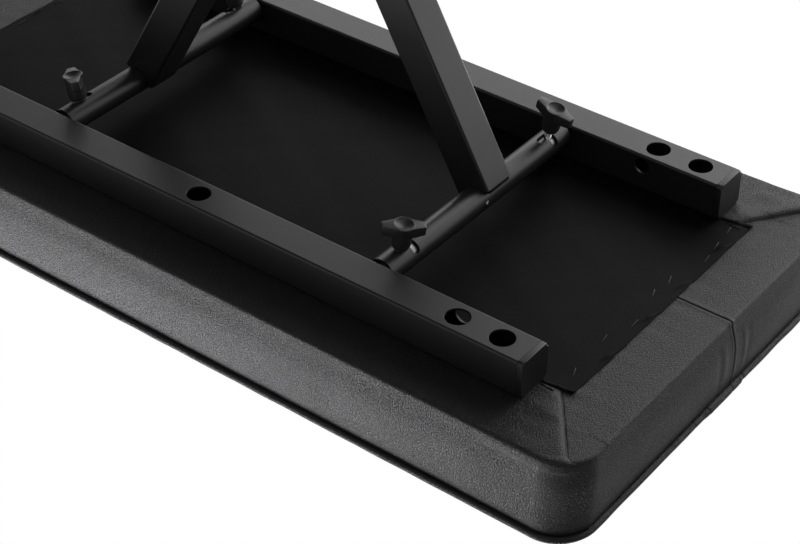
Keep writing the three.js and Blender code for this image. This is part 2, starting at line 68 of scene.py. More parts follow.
def add_camera():
    """The photograph's view, with the bench upside down in it."""
    back = Vector((math.sin(CAMERA_TURN) * math.cos(CAMERA_BELOW),
                   math.cos(CAMERA_TURN) * math.cos(CAMERA_BELOW), -math.sin(CAMERA_BELOW)))
    right = Vector((math.cos(CAMERA_TURN), -math.sin(CAMERA_TURN), 0))
    up = back.cross(right)
    level, rise = math.cos(CAMERA_ROLL), math.sin(CAMERA_ROLL)
    axes = Matrix((level * right + rise * up, level * up - rise * right, back)).transposed()
    data = bpy.data.cameras.new("photo_camera")
    data.sensor_width = SENSOR_WIDTH
    data.lens = SENSOR_WIDTH * FOCAL_PIXELS / IMAGE_WIDTH
    data.clip_start = 0.01
    camera = bpy.data.objects.new("photo_camera", data)
    camera.matrix_world = Matrix.Translation(CAMERA_TARGET + back * CAMERA_DISTANCE) @ axes.to_4x4()
    bpy.context.scene.collection.objects.link(camera)
    bpy.context.scene.camera = camera


add_camera()


# Node trees as expressions

def arithmetic(operation, swapped=False):
    """An operator that adds a Math node; swapped puts the other value first."""
    def act(wire, other):
        first, second = (other, wire) if swapped else (wire, other)
        return wire.tree.node("ShaderNodeMath", {"operation": operation}, {0: first, 1: second})
    return act


class Wire:
    """A socket that takes plain arithmetic."""

    __add__ = __radd__ = arithmetic("ADD")
    __mul__ = __rmul__ = arithmetic("MULTIPLY")
    __sub__ = arithmetic("SUBTRACT")
    __rsub__ = arithmetic("SUBTRACT", swapped=True)
    larger = arithmetic("MAXIMUM")

    def __init__(self, tree, socket):
        self.tree = tree
        self.socket = socket

    def above(self, low, high):
        """0 below low, 1 above high, smooth between."""
        inputs = {"Value": self, "From Min": low, "From Max": high}
        return self.tree.node("ShaderNodeMapRange", {"interpolation_type": "SMOOTHSTEP"}, inputs)


class NodeTree:
    """A node tree that starts empty."""

    def __init__(self, tree):
        self.tree = tree
        tree.nodes.clear()

    def node(self, kind, settings=None, inputs=None, output=0):
        """Any node: its settings first, then the values or links of its sockets."""
        made = self.tree.nodes.new(kind)
        for key, value in (settings or {}).items():
            setattr(made, key, value)
        for key, value in (inputs or {}).items():
            if isinstance(value, Wire):
                self.tree.links.new(value.socket, made.inputs[key])
            else:
                made.inputs[key].default_value = value
        return Wire(self, made.outputs[output]) if made.outputs else None


class Finish(NodeTree):
    """A material written as expressions on Object coordinates."""

    def __init__(self, name):
        self.material = bpy.data.materials.new(name)
        self.material.use_nodes = True
        super().__init__(self.material.node_tree)

    def place(self, stretch=(1, 1, 1), turn=(0, 0, 0)):
        """Object coordinates, stretched and turned."""
        spot = self.node("ShaderNodeTexCoord", output="Object")
        return self.node("ShaderNodeMapping", None, {"Vector": spot, "Scale": stretch, "Rotation": turn})

    def noise(self, scale, detail=3, roughness=0.5, at=None):
        inputs = {"Vector": at or self.place(), "Scale": scale, "Detail": detail, "Roughness": roughness}
        return self.node("ShaderNodeTexNoise", None, inputs)

    def cells(self, scale, feature="F1", at=None, **more):
        inputs = {"Vector": at or self.place(), "Scale": scale, **more}
        return self.node("ShaderNodeTexVoronoi", {"feature": feature}, inputs)

    def waves(self, scale, distortion, detail, at):
        inputs = {"Vector": at, "Scale": scale, "Distortion": distortion, "Detail": detail}
        return self.node("ShaderNodeTexWave", None, inputs, output="Fac")

    def tint(self, mask, dark, light):
        """A colour between two, by a mask."""
        inputs = {0: mask, 6: (*dark, 1), 7: (*light, 1)}
        return self.node("ShaderNodeMix", {"data_type": "RGBA"}, inputs, output=2)

    def bump(self, height, distance, strength):
        inputs = {"Height": height, "Distance": distance, "Strength": strength}
        return self.node("ShaderNodeBump", None, inputs)

    def surface(self, shader):
        self.node("ShaderNodeOutputMaterial", None, {"Surface": shader})
        return self.material

    def close(self, **sockets):
        """The material with a shader from socket names with underscores for spaces."""
        inputs = {key.replace("_", " "): value for key, value in sockets.items()}
        return self.surface(self.node("ShaderNodeBsdfPrincipled", None, inputs, output="BSDF"))


def grey(value, warmth=0.0):
    """A near-neutral colour; warmth above 0 leans to red, below 0 to blue."""
    return (value * (1 + warmth), value, value * (1 - warmth))


# Finishes

def leatherette_finish():
    """Black grained leatherette: pebbles drawn out along a diagonal, with fine creases between them."""
    f = Finish("leatherette")
    drawn = f.place(stretch=(1.0, 1.0, 0.85), turn=(0.5, 0.35, 0.6))
    warp = f.noise(900, 3, 0.65)
    pebble = f.cells(960, "SMOOTH_F1", drawn, Smoothness=0.22)
    crease = f.cells(760, "DISTANCE_TO_EDGE", drawn)
    valley = 1 - crease.above(0.0, 0.12)
    fine = f.noise(2600, 3, 0.6)
    broad = f.noise(9, 3, 0.5)
    height = 0.6 * (1 - pebble) + 0.45 * warp + 0.15 * fine - 0.4 * valley
    shade = (0.45 * broad + 0.35 * warp + 0.3 * fine).above(0.25, 0.85)
    color = f.tint(shade, grey(0.005, 0.01), grey(0.011, 0.0))
    rough = 0.33 + 0.10 * broad + 0.12 * fine - 0.05 * valley
    return f.close(Base_Color=color, Roughness=rough, Specular_IOR_Level=0.18,
                   Normal=f.bump(height, 0.00042, 0.95))


def liner_finish():
    """Black non-woven cloth: pressed fibres and a faint dimple grid."""
    f = Finish("liner_cloth")
    fibre = f.noise(1500, 4, 0.7, f.place(stretch=(1, 0.25, 1), turn=(0, 0, 0.5)))
    cross = f.noise(1500, 4, 0.7, f.place(stretch=(0.25, 1, 1), turn=(0, 0, -0.3)))
    dimple = f.cells(520)
    height = 0.5 * fibre + 0.5 * cross - 0.4 * dimple
    cloud = f.noise(14, 3, 0.6)
    worn = (0.5 * cloud + 0.3 * fibre + 0.2 * cross).above(0.3, 0.75)
    color = f.tint(worn, grey(0.001), grey(0.0025, 0.02))
    return f.close(Base_Color=color, Roughness=0.62, Specular_IOR_Level=0.039,
                   Normal=f.bump(height, 0.00012, 0.6))


def powder_coat_finish():
    """Satin black powder coat: fine orange peel and a dusting of lighter specks."""
    f = Finish("powder_coat")
    peel = f.noise(1500, 2, 0.45)
    fine = f.noise(4200, 2, 0.5)
    broad = f.noise(12, 3, 0.55)
    specks = f.cells(900).above(0.0, 0.05)
    color = f.tint(0.5 * broad + 0.5 * (1 - specks), grey(0.006), grey(0.010, 0.01))
    rough = 0.34 + 0.08 * broad + 0.05 * peel
    return f.close(Base_Color=color, Roughness=rough, Specular_IOR_Level=0.25,
                   Normal=f.bump(0.7 * peel + 0.3 * fine, 0.00005, 0.6))


def weld_shadow_finish():
    """Matt black for the weld beads, painted shadow: it stands in for the contact shadow and dark gap where the
    legs meet the cross tubes; its noise only mottles the black.
    """
    f = Finish("weld_painted_shadow")
    scale = f.noise(1800, 3, 0.6)
    color = f.tint(scale, grey(0.001), grey(0.004, 0.02))
    return f.close(Base_Color=color, Roughness=0.7 + 0.2 * scale, Specular_IOR_Level=0.06,
                   Normal=f.bump(scale, 0.0001, 0.5))


def moulded_finish(name, dark, light, rough, grain):
    """Black moulded plastic with a fine spark-eroded grain."""
    f = Finish(name)
    fine = f.noise(grain, 3, 0.6)
    flow = f.noise(90, 2, 0.5, f.place(stretch=(1, 1, 0.3)))
    color = f.tint(0.5 * fine + 0.5 * flow, grey(dark), grey(light))
    return f.close(Base_Color=color, Roughness=rough + 0.1 * flow, Specular_IOR_Level=0.25,
                   Normal=f.bump(fine, 0.00004, 0.5))


def rubber_finish():
    """Dull black rubber, greyed where it is handled."""
    f = Finish("foot_rubber")
    fine = f.noise(1900, 4, 0.6)
    bloom = f.noise(55, 3, 0.6)
    color = f.tint((0.6 * bloom + 0.4 * fine).above(0.35, 0.75), grey(0.010), grey(0.024))
    return f.close(Base_Color=color, Roughness=0.62 + 0.2 * fine, Normal=f.bump(fine, 0.00006, 0.5))


def zinc_finish():
    """Dulled zinc plate with faint turning marks and clouding."""
    f = Finish("zinc_steel")
    marks = f.noise(700, 2, 0.5, f.place(stretch=(1, 0.05, 1)))
    cloud = f.noise(160, 3, 0.6)
    color = f.tint(cloud, grey(0.08), grey(0.19))
    return f.close(Base_Color=color, Metallic=1.0, Roughness=0.3 + 0.16 * cloud,
                   Normal=f.bump(marks, 0.00002, 0.5))


def plated_finish(name, scale, dulled, clean, dirty, rough):
    """Plated steel between clean and dirty spots; rough is its least and how much dirt adds."""
    f = Finish(name)
    dirt = f.noise(scale, 3, 0.6)
    return f.close(Base_Color=f.tint(dirt.above(*dulled), clean, dirty), Metallic=1.0,
                   Roughness=rough[0] + rough[1] * dirt)


def plywood_finish():
    """Seat board: plies across its edge and grain along its faces."""
    f = Finish("plywood")
    grain = f.waves(60, 6, 3, f.place(stretch=(0.06, 1, 1)))
    plies = f.waves(360, 0.6, 1, f.place(stretch=(0, 0, 1)))
    color = f.tint(0.6 * grain + 0.4 * plies, (0.42, 0.25, 0.12), (0.62, 0.43, 0.24))
    return f.close(Base_Color=color, Roughness=0.75, Normal=f.bump(grain, 0.0001, 0.4))


def foam_finish():
    """Cream open-cell foam."""
    f = Finish("foam")
    pores = f.cells(900)
    color = f.tint(pores, (0.78, 0.70, 0.46), (0.62, 0.53, 0.30))
    return f.close(Base_Color=color, Roughness=0.95, Normal=f.bump(pores, 0.0003, 0.6))


FINISHES = {
    "leatherette": leatherette_finish(),
    "liner_cloth": liner_finish(),
    "powder_coat": powder_coat_finish(),
    "black_plastic": moulded_finish("black_plastic", 0.004, 0.008, 0.38, 2600),
    "knob_plastic": moulded_finish("knob_plastic", 0.013, 0.022, 0.34, 2200),
    "foot_rubber": rubber_finish(),
    "zinc_steel": zinc_finish(),
    "chrome_screw": plated_finish("chrome_screw", 900, (0.4, 0.7), grey(0.5), grey(0.2, 0.03), (0.12, 0.22)),
    "plywood": plywood_finish(),
    "foam": foam_finish(),
}
STAPLE_WIRE = plated_finish("staple_wire", 800, (0.4, 0.8), grey(0.008), grey(0.07, 0.04), (0.24, 0.2))
# Black for the weld beads: painted shadow where the legs meet the cross tubes.
WELD_SHADOW_BLACK = weld_shadow_finish()


# Meshes and pieces

MERGE_GAP = 0.001 * MM


def mesh_of(name, points, faces):
    mesh = bpy.data.meshes.new(name)
    mesh.from_pydata([tuple(p) for p in points], [], [tuple(f) for f in faces])
    mesh.update()
    return mesh


@contextmanager
def reworked(mesh):
    """A mesh as a bmesh that is written back at the end."""
    work = bmesh.new()
    work.from_mesh(mesh)
    yield work
    work.to_mesh(mesh)
    work.free()


def shaded(mesh, crease, flat_area=None):
    """Smooth shading that breaks at creases; faces larger than flat_area keep their own plane."""
    with reworked(mesh) as work:
        bmesh.ops.remove_doubles(work, verts=work.verts, dist=2 * MERGE_GAP)
        for edge in work.edges:
            edge.smooth = len(edge.link_faces) == 2 and edge.calc_face_angle(0) < math.radians(crease)
        for face in work.faces:
            face.smooth = flat_area is None or face.calc_area() < flat_area
    return mesh


def outward(mesh):
    """The same mesh with its doubles merged and its faces turned outwards."""
    with reworked(mesh) as work:
        bmesh.ops.remove_doubles(work, verts=work.verts, dist=MERGE_GAP)
        bmesh.ops.recalc_face_normals(work, faces=work.faces)
    return mesh


def joined(meshes):
    """Several meshes as one."""
    result = bpy.data.meshes.new("joined")
    with reworked(result) as work:
        for mesh in meshes:
            work.from_mesh(mesh)
    return result


def shift(x, y, z):
    return Matrix.Translation((x, y, z))


def turn(degrees, axis):
    return Matrix.Rotation(math.radians(degrees), 4, axis)


def moved(mesh, matrix):
    mesh.transform(matrix)
    return mesh


def baked(obj):
    """An object's evaluated shape as a plain mesh; the object goes."""
    bpy.context.view_layer.update()
    depsgraph = bpy.context.evaluated_depsgraph_get()
    mesh = bpy.data.meshes.new_from_object(obj.evaluated_get(depsgraph))
    bpy.data.objects.remove(obj)
    return mesh


def workpiece(mesh):
    obj = bpy.data.objects.new("workpiece", mesh)
    bpy.context.scene.collection.objects.link(obj)
    return obj


def modified(mesh, kind, **settings):
    """A mesh after one modifier."""
    obj = workpiece(mesh)
    change = obj.modifiers.new(kind, kind)
    for key, value in settings.items():
        setattr(change, key, value)
    return baked(obj)


def carved(mesh, tools, operation="DIFFERENCE"):
    """A mesh cut by, or joined with, tools that don't touch each other."""
    tool = workpiece(joined(tools))
    result = modified(mesh, "BOOLEAN", solver="EXACT", operation=operation, object=tool)
    bpy.data.objects.remove(tool)
    return result


def piece(name, mesh, slot, body, *nodes, material=None):
    """A finished piece that rides on a body and stands for CAD nodes."""
    mesh.name = name
    mesh.materials.clear()
    mesh.materials.append(material or FINISHES[slot])
    for polygon in mesh.polygons:
        polygon.material_index = 0
    obj = bpy.data.objects.new(name, mesh)
    bpy.context.scene.collection.objects.link(obj)
    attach(obj, body)
    if nodes:
        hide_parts(*nodes)
    return obj


def middle(node):
    low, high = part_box(node)
    return (low + high) / 2


def extent(node):
    low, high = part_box(node)
    return high - low


def arc(x, y, radius, first, last, steps, height=None):
    """Points on an arc about a centre, from one angle to another; height makes it an ellipse's."""
    turns = [math.radians(first + (last - first) * i / steps) for i in range(steps + 1)]
    return [(x + radius * math.cos(a), y + (height or radius) * math.sin(a)) for a in turns]


def circle(radius, steps):
    return arc(0, 0, radius, 0, 360, steps)[:-1]


def rounded_square(width, radius, steps):
    """The outline of a square with rounded corners, counterclockwise."""
    reach = width / 2 - radius
    corners = ((reach, reach), (-reach, reach), (-reach, -reach), (reach, -reach))
    arcs = [arc(x, y, radius, 90 * i, 90 * i + 90, steps) for i, (x, y) in enumerate(corners)]
    return sum(arcs, [])


def grid_faces(rows, columns, closed=True, looped=False):
    """Quads between rows of points: closed joins each row's ends, looped the last row to the first."""
    faces = []
    for i in range(rows if looped else rows - 1):
        near, far = i * columns, (i + 1) % rows * columns
        for j in range(columns if closed else columns - 1):
            k = (j + 1) % columns
            faces.append((near + j, near + k, far + k, far + j))
    return faces


def stack_faces(rows, columns):
    """Faces of a solid of stacked rings, with both its ends."""
    last = (rows - 1) * columns
    return grid_faces(rows, columns) + [tuple(range(columns - 1, -1, -1)), tuple(range(last, last + columns))]


def walled_tube(outer, inner, length):
    """A tube along Z, centred, from two outlines with the same number of points."""
    rings = ((outer, -length / 2), (outer, length / 2), (inner, length / 2), (inner, -length / 2))
    points = [(x, y, z) for outline, z in rings for x, y in outline]
    return mesh_of("tube", points, grid_faces(4, len(outer), looped=True))


def square_tube(width, radius, wall, length, steps=7):
    inner_radius = max(radius - wall, wall / 3)
    return walled_tube(rounded_square(width, radius, steps),
                       rounded_square(width - 2 * wall, inner_radius, steps), length)


def revolved(profile, steps):
    """A turned solid about Z from (radius, height) points, from axis to axis or closed on itself."""
    points, rings = [], []
    for radius, height in profile:
        first = len(points)
        points += [(x, y, height) for x, y in circle(radius, steps)] if radius else [(0, 0, height)]
        rings.append([first + (j if radius else 0) for j in range(steps)])
    faces = []
    for low, high in zip(rings, rings[1:]):
        for j in range(steps):
            k = (j + 1) % steps
            faces.append(list(dict.fromkeys((low[j], low[k], high[k], high[j]))))
    return outward(mesh_of("turned", points, faces))


def cylinder(radius, low, high, steps):
    return revolved([(0, low), (radius, low), (radius, high), (0, high)], steps)


# Seat: one skin from the border under the board, round the hem, up the band, into the seam, over the crown

BORDER_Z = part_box("seat_cover")[0].z
SEAT_HALF = Vector((309.2, 155.4)) * MM
SEAT_CORNER = 26 * MM
HEM_RADIUS = 2.2 * MM
BAND_HEIGHT = 57 * MM
BAND_PROFILE = ((0, 1.3), (2.2, 1.2), (9, 0.6), (15, 0.1), (19, -0.15), (24, -0.2), (32, -0.15), (40, 0.0),
                (47, 0.25), (52, 0.6), (54.2, 1.4))
BAND_TOP_GAP = 2.8 * MM
SEAM_DEPTH = 3.9 * MM
SEAM_INSET = 3 * MM
SEAM_START = -2 * MM
SEAM_STEPS = (-1 * MM, 1.2 * MM, 3 * MM)
CROWN_LAP = 0.5 * MM
CROWN_RUN = 122 * MM
CROWN_EDGE = 60.6 * MM
CROWN_TOP = 66.6 * MM
CROWN_CROWDING = 1.6
LIP_INSET = Vector((50, 66)) * MM
CROWN_END_INSET = 152 * MM
COVER_WALL = 1.1 * MM
SKIN_RADIUS_LIMIT = 3 * MM
HALF_END_COLUMNS = 60
CORNER_COLUMNS = 18
SIDE_COLUMNS = 160
HEM_ROWS = 6
BAND_ROWS = 15
BORDER_ROWS = 12
CROWN_ROWS = 34


def seat_columns():
    """Where each column stands on any ring: the corner centre's signs and the direction from there."""
    spans = [
        ((1, 0), (1, 1), 0, 0, HALF_END_COLUMNS),
        ((1, 1), (1, 1), 0, 90, CORNER_COLUMNS),
        ((1, 1), (-1, 1), 90, 90, SIDE_COLUMNS),
        ((-1, 1), (-1, 1), 90, 180, CORNER_COLUMNS),
        ((-1, 1), (-1, -1), 180, 180, 2 * HALF_END_COLUMNS),
        ((-1, -1), (-1, -1), 180, 270, CORNER_COLUMNS),
        ((-1, -1), (1, -1), 270, 270, SIDE_COLUMNS),
        ((1, -1), (1, -1), 270, 360, CORNER_COLUMNS),
        ((1, -1), (1, 0), 0, 0, HALF_END_COLUMNS),
    ]
    signs, angles = [], []
    for start, end, first, last, count in spans:
        for share in np.arange(count) / count:
            signs.append([a + (b - a) * share for a, b in zip(start, end)])
            angles.append(math.radians(first + (last - first) * share))
    return np.array(signs), np.array(angles)


SIGNS, ANGLES = seat_columns()


def seat_ring(inset_x, inset_y, z):
    radius = max(SEAT_CORNER - min(inset_x, inset_y), SKIN_RADIUS_LIMIT)
    x = SIGNS[:, 0] * (SEAT_HALF.x - inset_x - radius) + radius * np.cos(ANGLES)
    y = SIGNS[:, 1] * (SEAT_HALF.y - inset_y - radius) + radius * np.sin(ANGLES)
    return np.stack([x, y, np.full(len(x), z)], axis=1)


def fullness(distance):
    share = np.clip((distance - SEAM_DEPTH) / (CROWN_RUN - SEAM_DEPTH), 0, 1)
    return 1 - (1 - share) ** 3


def crown_ring(inset):
    ring = seat_ring(inset, inset, BORDER_Z + CROWN_EDGE)
    from_end = fullness(SEAT_HALF.x - np.abs(ring[:, 0]))
    from_side = fullness(SEAT_HALF.y - np.abs(ring[:, 1]))
    ring[:, 2] += (CROWN_TOP - CROWN_EDGE) * from_end * from_side
    return ring


def band_inset(rise):
    """How far the band stands in: it leans out over the board, then bellies over the foam to the piping."""
    heights, insets = zip(*BAND_PROFILE)
    return float(np.interp(rise / MM, heights, insets)) * MM


def seat_skin():
    """The skin's grid of points, row by row from the lip inside to the crown."""
    rings = []
    for i in range(BORDER_ROWS):
        share = 1 - i / BORDER_ROWS
        inset_x, inset_y = (HEM_RADIUS + (lip - HEM_RADIUS) * share for lip in LIP_INSET)
        rings.append(seat_ring(inset_x, inset_y, BORDER_Z))
    edge = []
    for i in range(HEM_ROWS + 1):
        angle = i / HEM_ROWS * math.pi / 2
        rise = HEM_RADIUS * (1 - math.cos(angle))
        edge.append((HEM_RADIUS * (1 - math.sin(angle)) + band_inset(rise), rise))
    for i in range(1, BAND_ROWS + 1):
        rise = HEM_RADIUS + (BAND_HEIGHT - BAND_TOP_GAP - HEM_RADIUS) * i / BAND_ROWS
        edge.append((band_inset(rise), rise))
    edge.append((SEAM_INSET, BAND_HEIGHT + SEAM_START))
    edge += [(SEAM_DEPTH, BAND_HEIGHT + step) for step in SEAM_STEPS]
    rings += [seat_ring(inset, inset, BORDER_Z + rise) for inset, rise in edge]
    for i in range(CROWN_ROWS):
        share = (i / (CROWN_ROWS - 1)) ** CROWN_CROWDING
        rings.append(crown_ring(SEAM_DEPTH - CROWN_LAP + (CROWN_END_INSET - SEAM_DEPTH) * share))
    return np.array(rings)


def skin_faces(rows, columns, closed_below=False):
    """Faces of the grid, with the last ring bridged across the seat's long middle."""
    faces = grid_faces(rows, columns)
    last = (rows - 1) * columns
    for j in range(columns // 2):
        corners = (j, j + 1, (columns - j - 1) % columns, (columns - j) % columns)
        faces.append(list(dict.fromkeys(last + c for c in corners)))
    if closed_below:
        faces.append(list(range(columns - 1, -1, -1)))
    return faces


PUFF_ROW_STEP = 2
PUFF_COLUMN_STEP = 3
PUFF_FRAMES = 20
PUFF_CLOTH = {
    "quality": 5,
    "mass": 0.3,
    "tension_stiffness": 20,
    "compression_stiffness": 20,
    "bending_stiffness": 4,
    "use_pressure": True,
    "uniform_pressure_force": 4.0,
    "vertex_group_mass": "held",
}
HEM_TOP_ROW = BORDER_ROWS + HEM_ROWS
SEAM_ROW = HEM_TOP_ROW + BAND_ROWS + 3
PUFF_LIMIT = 1.6 * MM


def puffed(grid):
    """How far air pressure under the cover moves each point of the skin, from a coarse cloth simulation."""
    rows = [*range(0, grid.shape[0] - 1, PUFF_ROW_STEP), grid.shape[0] - 1]
    columns = list(range(0, grid.shape[1], PUFF_COLUMN_STEP))
    coarse = grid[np.ix_(rows, columns)]
    faces = skin_faces(len(rows), len(columns), closed_below=True)
    obj = workpiece(mesh_of("puff", coarse.reshape(-1, 3), faces))
    held_rows = [i for i, row in enumerate(rows) if row <= HEM_TOP_ROW + 2 or abs(row - SEAM_ROW) <= 3]
    held = obj.vertex_groups.new(name="held")
    held.add([i * len(columns) + j for i in held_rows for j in range(len(columns))], 1.0, "REPLACE")
    cloth = obj.modifiers.new("cloth", "CLOTH")
    for key, value in PUFF_CLOTH.items():
        setattr(cloth.settings, key, value)
    cloth.settings.effector_weights.gravity = 0
    cloth.collision_settings.use_collision = False
    cloth.point_cache.frame_start = 1
    cloth.point_cache.frame_end = PUFF_FRAMES
    scene = bpy.context.scene
    for number in range(1, PUFF_FRAMES + 1):
        scene.frame_set(number)
    settled = obj.evaluated_get(bpy.context.evaluated_depsgraph_get()).to_mesh()
    points = np.zeros(len(settled.vertices) * 3)
    settled.vertices.foreach_get("co", points)
    bpy.data.objects.remove(obj)
    scene.frame_set(1)
    push = points.reshape(coarse.shape) - coarse
    push *= PUFF_LIMIT / (PUFF_LIMIT + np.linalg.norm(push, axis=2, keepdims=True))
    wrapped = np.concatenate([push, push[:, :1]], axis=1)
    across = [*columns, grid.shape[1]]
    full = np.zeros(grid.shape)
    for axis in range(3):
        fine = np.array([np.interp(range(grid.shape[1]), across, row) for row in wrapped[:, :, axis]])
        full[:, :, axis] = np.array([np.interp(range(grid.shape[0]), rows, column) for column in fine.T]).T
    return full


# Folds, seams and tucks of the cover, as heights along its normals; this part counts in millimetres

FOLD_HEIGHT = 3.4
FOLD_ROLL = 1.8
FOLD_FADE = 19
FOLD_CREASE = 0.13
FOLD_FALL = ((0, 8, 30, 54, 64, 80), (0.5, 0.8, 1.0, 0.9, 0.35, 0.0))
PLEAT_CUT = 1.3
PLEAT = [(250.4, 103.0), (260.1, 104.4)]
CORNER_FOLD = [(259.6, 94.9), (261.7, 97.7), (278.0, 119.2), (296.4, 143.9), (300.3, 145.9), (305.8, 141.6),
               (309.9, 131.0)]
BACK_FOLD = [(262.0, 102.2), (266.4, 108.4), (286.4, 136.5), (298.0, 145.4), (304.2, 143.2), (309.9, 131.0)]
FOLD_PLACES = ((1, 1, CORNER_FOLD), (-1, -1, CORNER_FOLD), (1, -1, BACK_FOLD), (-1, 1, BACK_FOLD))
LINER_END_X = 270.5
LINER_SIDE_Y = 99
SEAM_BORDER_Y = -13.7
SEAM_DRIFT = -7.1
SEAM_WIDTH = 0.42
SEAM_CUT = 0.75
SEAM_SWELL = 0.22


def smooth(low, high, value):
    share = np.clip((value - low) / (high - low), 0, 1)
    return share * share * (3 - 2 * share)


def bell(value, width):
    return np.exp(-(value / width) ** 2)


def ripple(position, wavelength, seed):
    """A smooth one-dimensional wander between about -1 and 1."""
    source = np.random.default_rng(seed)
    total = np.zeros_like(position)
    for part in range(5):
        wave = wavelength * source.uniform(0.6, 1.9)
        total += np.sin(position * 2 * math.pi / wave + source.uniform(0, 6.3))
    return total / 2.6


def beside(x, y, path):
    """Signed distance in plan to a path, positive on its right, and how far along it the nearest spot is."""
    plan, path = np.stack([x, y], axis=1), np.array(path)
    best = np.full(len(plan), np.inf)
    side, along = np.zeros((2, len(plan)))
    run = 0.0
    for start, end in zip(path, path[1:]):
        step = end - start
        length = np.linalg.norm(step)
        share = np.clip((plan - start) @ step / length ** 2, 0, 1)
        gap = plan - (start + share[:, None] * step)
        distance = np.linalg.norm(gap, axis=1)
        nearer = distance < best
        best = np.where(nearer, distance, best)
        side = np.where(nearer, np.sign(step[1] * gap[:, 0] - step[0] * gap[:, 1]), side)
        along = np.where(nearer, run + share * length, along)
        run += length
    return best * side, along


def fold_gaps(x, y):
    """For each corner: distance right of its fold line, how far along it, and how near the corner is."""
    for sx, sy, path in FOLD_PLACES:
        gap, along = beside(x * sx, y * sy, path)
        yield gap, along, smooth(225, 250, x * sx) * smooth(70, 90, y * sy)


def pleat_gaps(x, y):
    return [beside(x * sign, y * sign, PLEAT)[0] for sign in (1, -1)]


def corner_folds(x, y, rise):
    """Each side's border laps over the ends' at the corners: a rolled edge that ends in a crease."""
    total = np.zeros(len(x))
    free = smooth(-2, 5, np.maximum(np.abs(x) - LINER_END_X, np.abs(y) - LINER_SIDE_Y))
    low = 1 - smooth(5, 9, rise)
    for gap, along, near in fold_gaps(x, y):
        inside = np.clip(-gap, 0, None)
        roll = (1 - np.exp(-inside / FOLD_ROLL)) * np.exp(-inside / FOLD_FADE)
        crease = -FOLD_CREASE * bell(gap - 0.35, 0.45)
        total += FOLD_HEIGHT * near * low * free * np.interp(along, *FOLD_FALL) * (roll + crease)
    for gap in pleat_gaps(x, y):
        slit = -PLEAT_CUT * bell(gap, 0.55) + 0.35 * bell(gap + 1.9, 1.4)
        total += slit * (1 - smooth(1, 3, rise))
    return total


def seam_gap(y, rise):
    """Distance of points from the right end's seam, positive towards the front."""
    climb = np.clip((rise - 4) / 51, 0, 1)
    return SEAM_BORDER_Y + SEAM_DRIFT * (1 - (1 - climb) ** 2.6) - y


def end_seam(x, y, rise):
    """The seam across the right end's border and up its band; its allowance shows as soft ridges."""
    gap = seam_gap(y, rise)
    at_end = smooth(262, 268, x) * (1 - smooth(60, 63, rise))
    groove = -SEAM_CUT * bell(gap, SEAM_WIDTH)
    shoulders = SEAM_SWELL * bell(np.abs(gap) - 1.6, 1.5)
    belly = np.sin(math.pi * np.clip((rise - 8) / 46, 0, 1))
    front_edge = bell(gap - 12.2, 2.4) - 0.7 * bell(gap - 17, 3)
    back_edge = bell(gap + 11.5, 3) - 0.8 * bell(gap + 17, 3.2)
    return at_end * (groove + shoulders + belly * (0.4 * front_edge + 0.3 * back_edge))


def border_pull(x, y, rise):
    """Small gathers where the border is stapled, dying out towards the hem."""
    far_x, far_y = np.abs(x), np.abs(y)
    ends = ripple(y, 19, 3) * np.exp(-np.clip(far_x - 268, 0, None) / 13) * (far_x > 255)
    sides = ripple(x, 34, 4) * np.exp(-np.clip(far_y - 120, 0, None) / 15) * (far_y > 121)
    return (1 - smooth(0.5, 4, rise)) * (0.22 * ends + 0.25 * sides)


def band_wander(x, y, rise):
    """The band's slow unevenness, fullest halfway up."""
    around = np.arctan2(y / SEAT_HALF.y, x / SEAT_HALF.x)
    swell = ripple(x + 0.6 * y, 95, 11) + 0.6 * ripple(around, 0.5, 12)
    return 0.3 * swell * np.sin(math.pi * np.clip(rise * MM / BAND_HEIGHT, 0, 1)) ** 2


def in_mm(points):
    """Each point's x, y and height above the border."""
    return points[:, 0] / MM, points[:, 1] / MM, (points[:, 2] - BORDER_Z) / MM


def refined(work, wanted):
    """Cuts the faces that a rule picks by their middles into smaller ones."""
    chosen = wanted(*in_mm(np.array([face.calc_center_median()[:] for face in work.faces])))
    edges = {edge for face, cut in zip(work.faces, chosen) if cut for edge in face.edges}
    bmesh.ops.subdivide_edges(work, edges=list(edges), cuts=2, use_grid_fill=True)


def detail_zone(x, y, rise):
    """The corners of the border and the right end about its seam."""
    at_corner = (rise < 12) & (np.abs(x) > 246) & (np.abs(y) > 86)
    return at_corner | seam_zone(x, y, rise, 24)


def seam_zone(x, y, rise, reach):
    return (x > 264) & (np.abs(seam_gap(y, rise)) < reach) & (rise < 58)


def crease_zone(x, y, rise):
    """The narrow strips along the fold lines, the pleats and the seam."""
    close = np.zeros(len(x), bool)
    for gap, _, near in fold_gaps(x, y):
        close |= (near > 0.5) & (gap > -5) & (gap < 2)
    for gap in pleat_gaps(x, y):
        close |= np.abs(gap) < 3.5
    return close & (rise < 9) | seam_zone(x, y, rise, 2)


def cover_mesh():
    grid = seat_skin()
    grid = grid + puffed(grid)
    mesh = mesh_of("cover", grid.reshape(-1, 3), skin_faces(*grid.shape[:2]))
    with reworked(mesh) as work:
        refined(work, detail_zone)
        refined(work, crease_zone)
        bmesh.ops.recalc_face_normals(work, faces=work.faces)
        work.normal_update()
        points = np.array([v.co[:] for v in work.verts])
        normals = np.array([v.normal[:] for v in work.verts])
        reliefs = (corner_folds, end_seam, border_pull, band_wander)
        lift = MM * sum(relief(*in_mm(points)) for relief in reliefs)
        for vertex, spot in zip(work.verts, points + normals * lift[:, None]):
            vertex.co = spot
    return shaded(modified(mesh, "SOLIDIFY", thickness=COVER_WALL, offset=-1), crease=60)


PIPING_RADIUS = 2.5 * MM
PIPING_INSET = 1.3 * MM
PIPING_SIDES = 14
PIPING_STEPS = 5
JOINT_START = -33.5 * MM
JOINT_END = 12 * MM
CRIMPS = (-36.0, -31.0, -22.0, 5.0, 21.0)


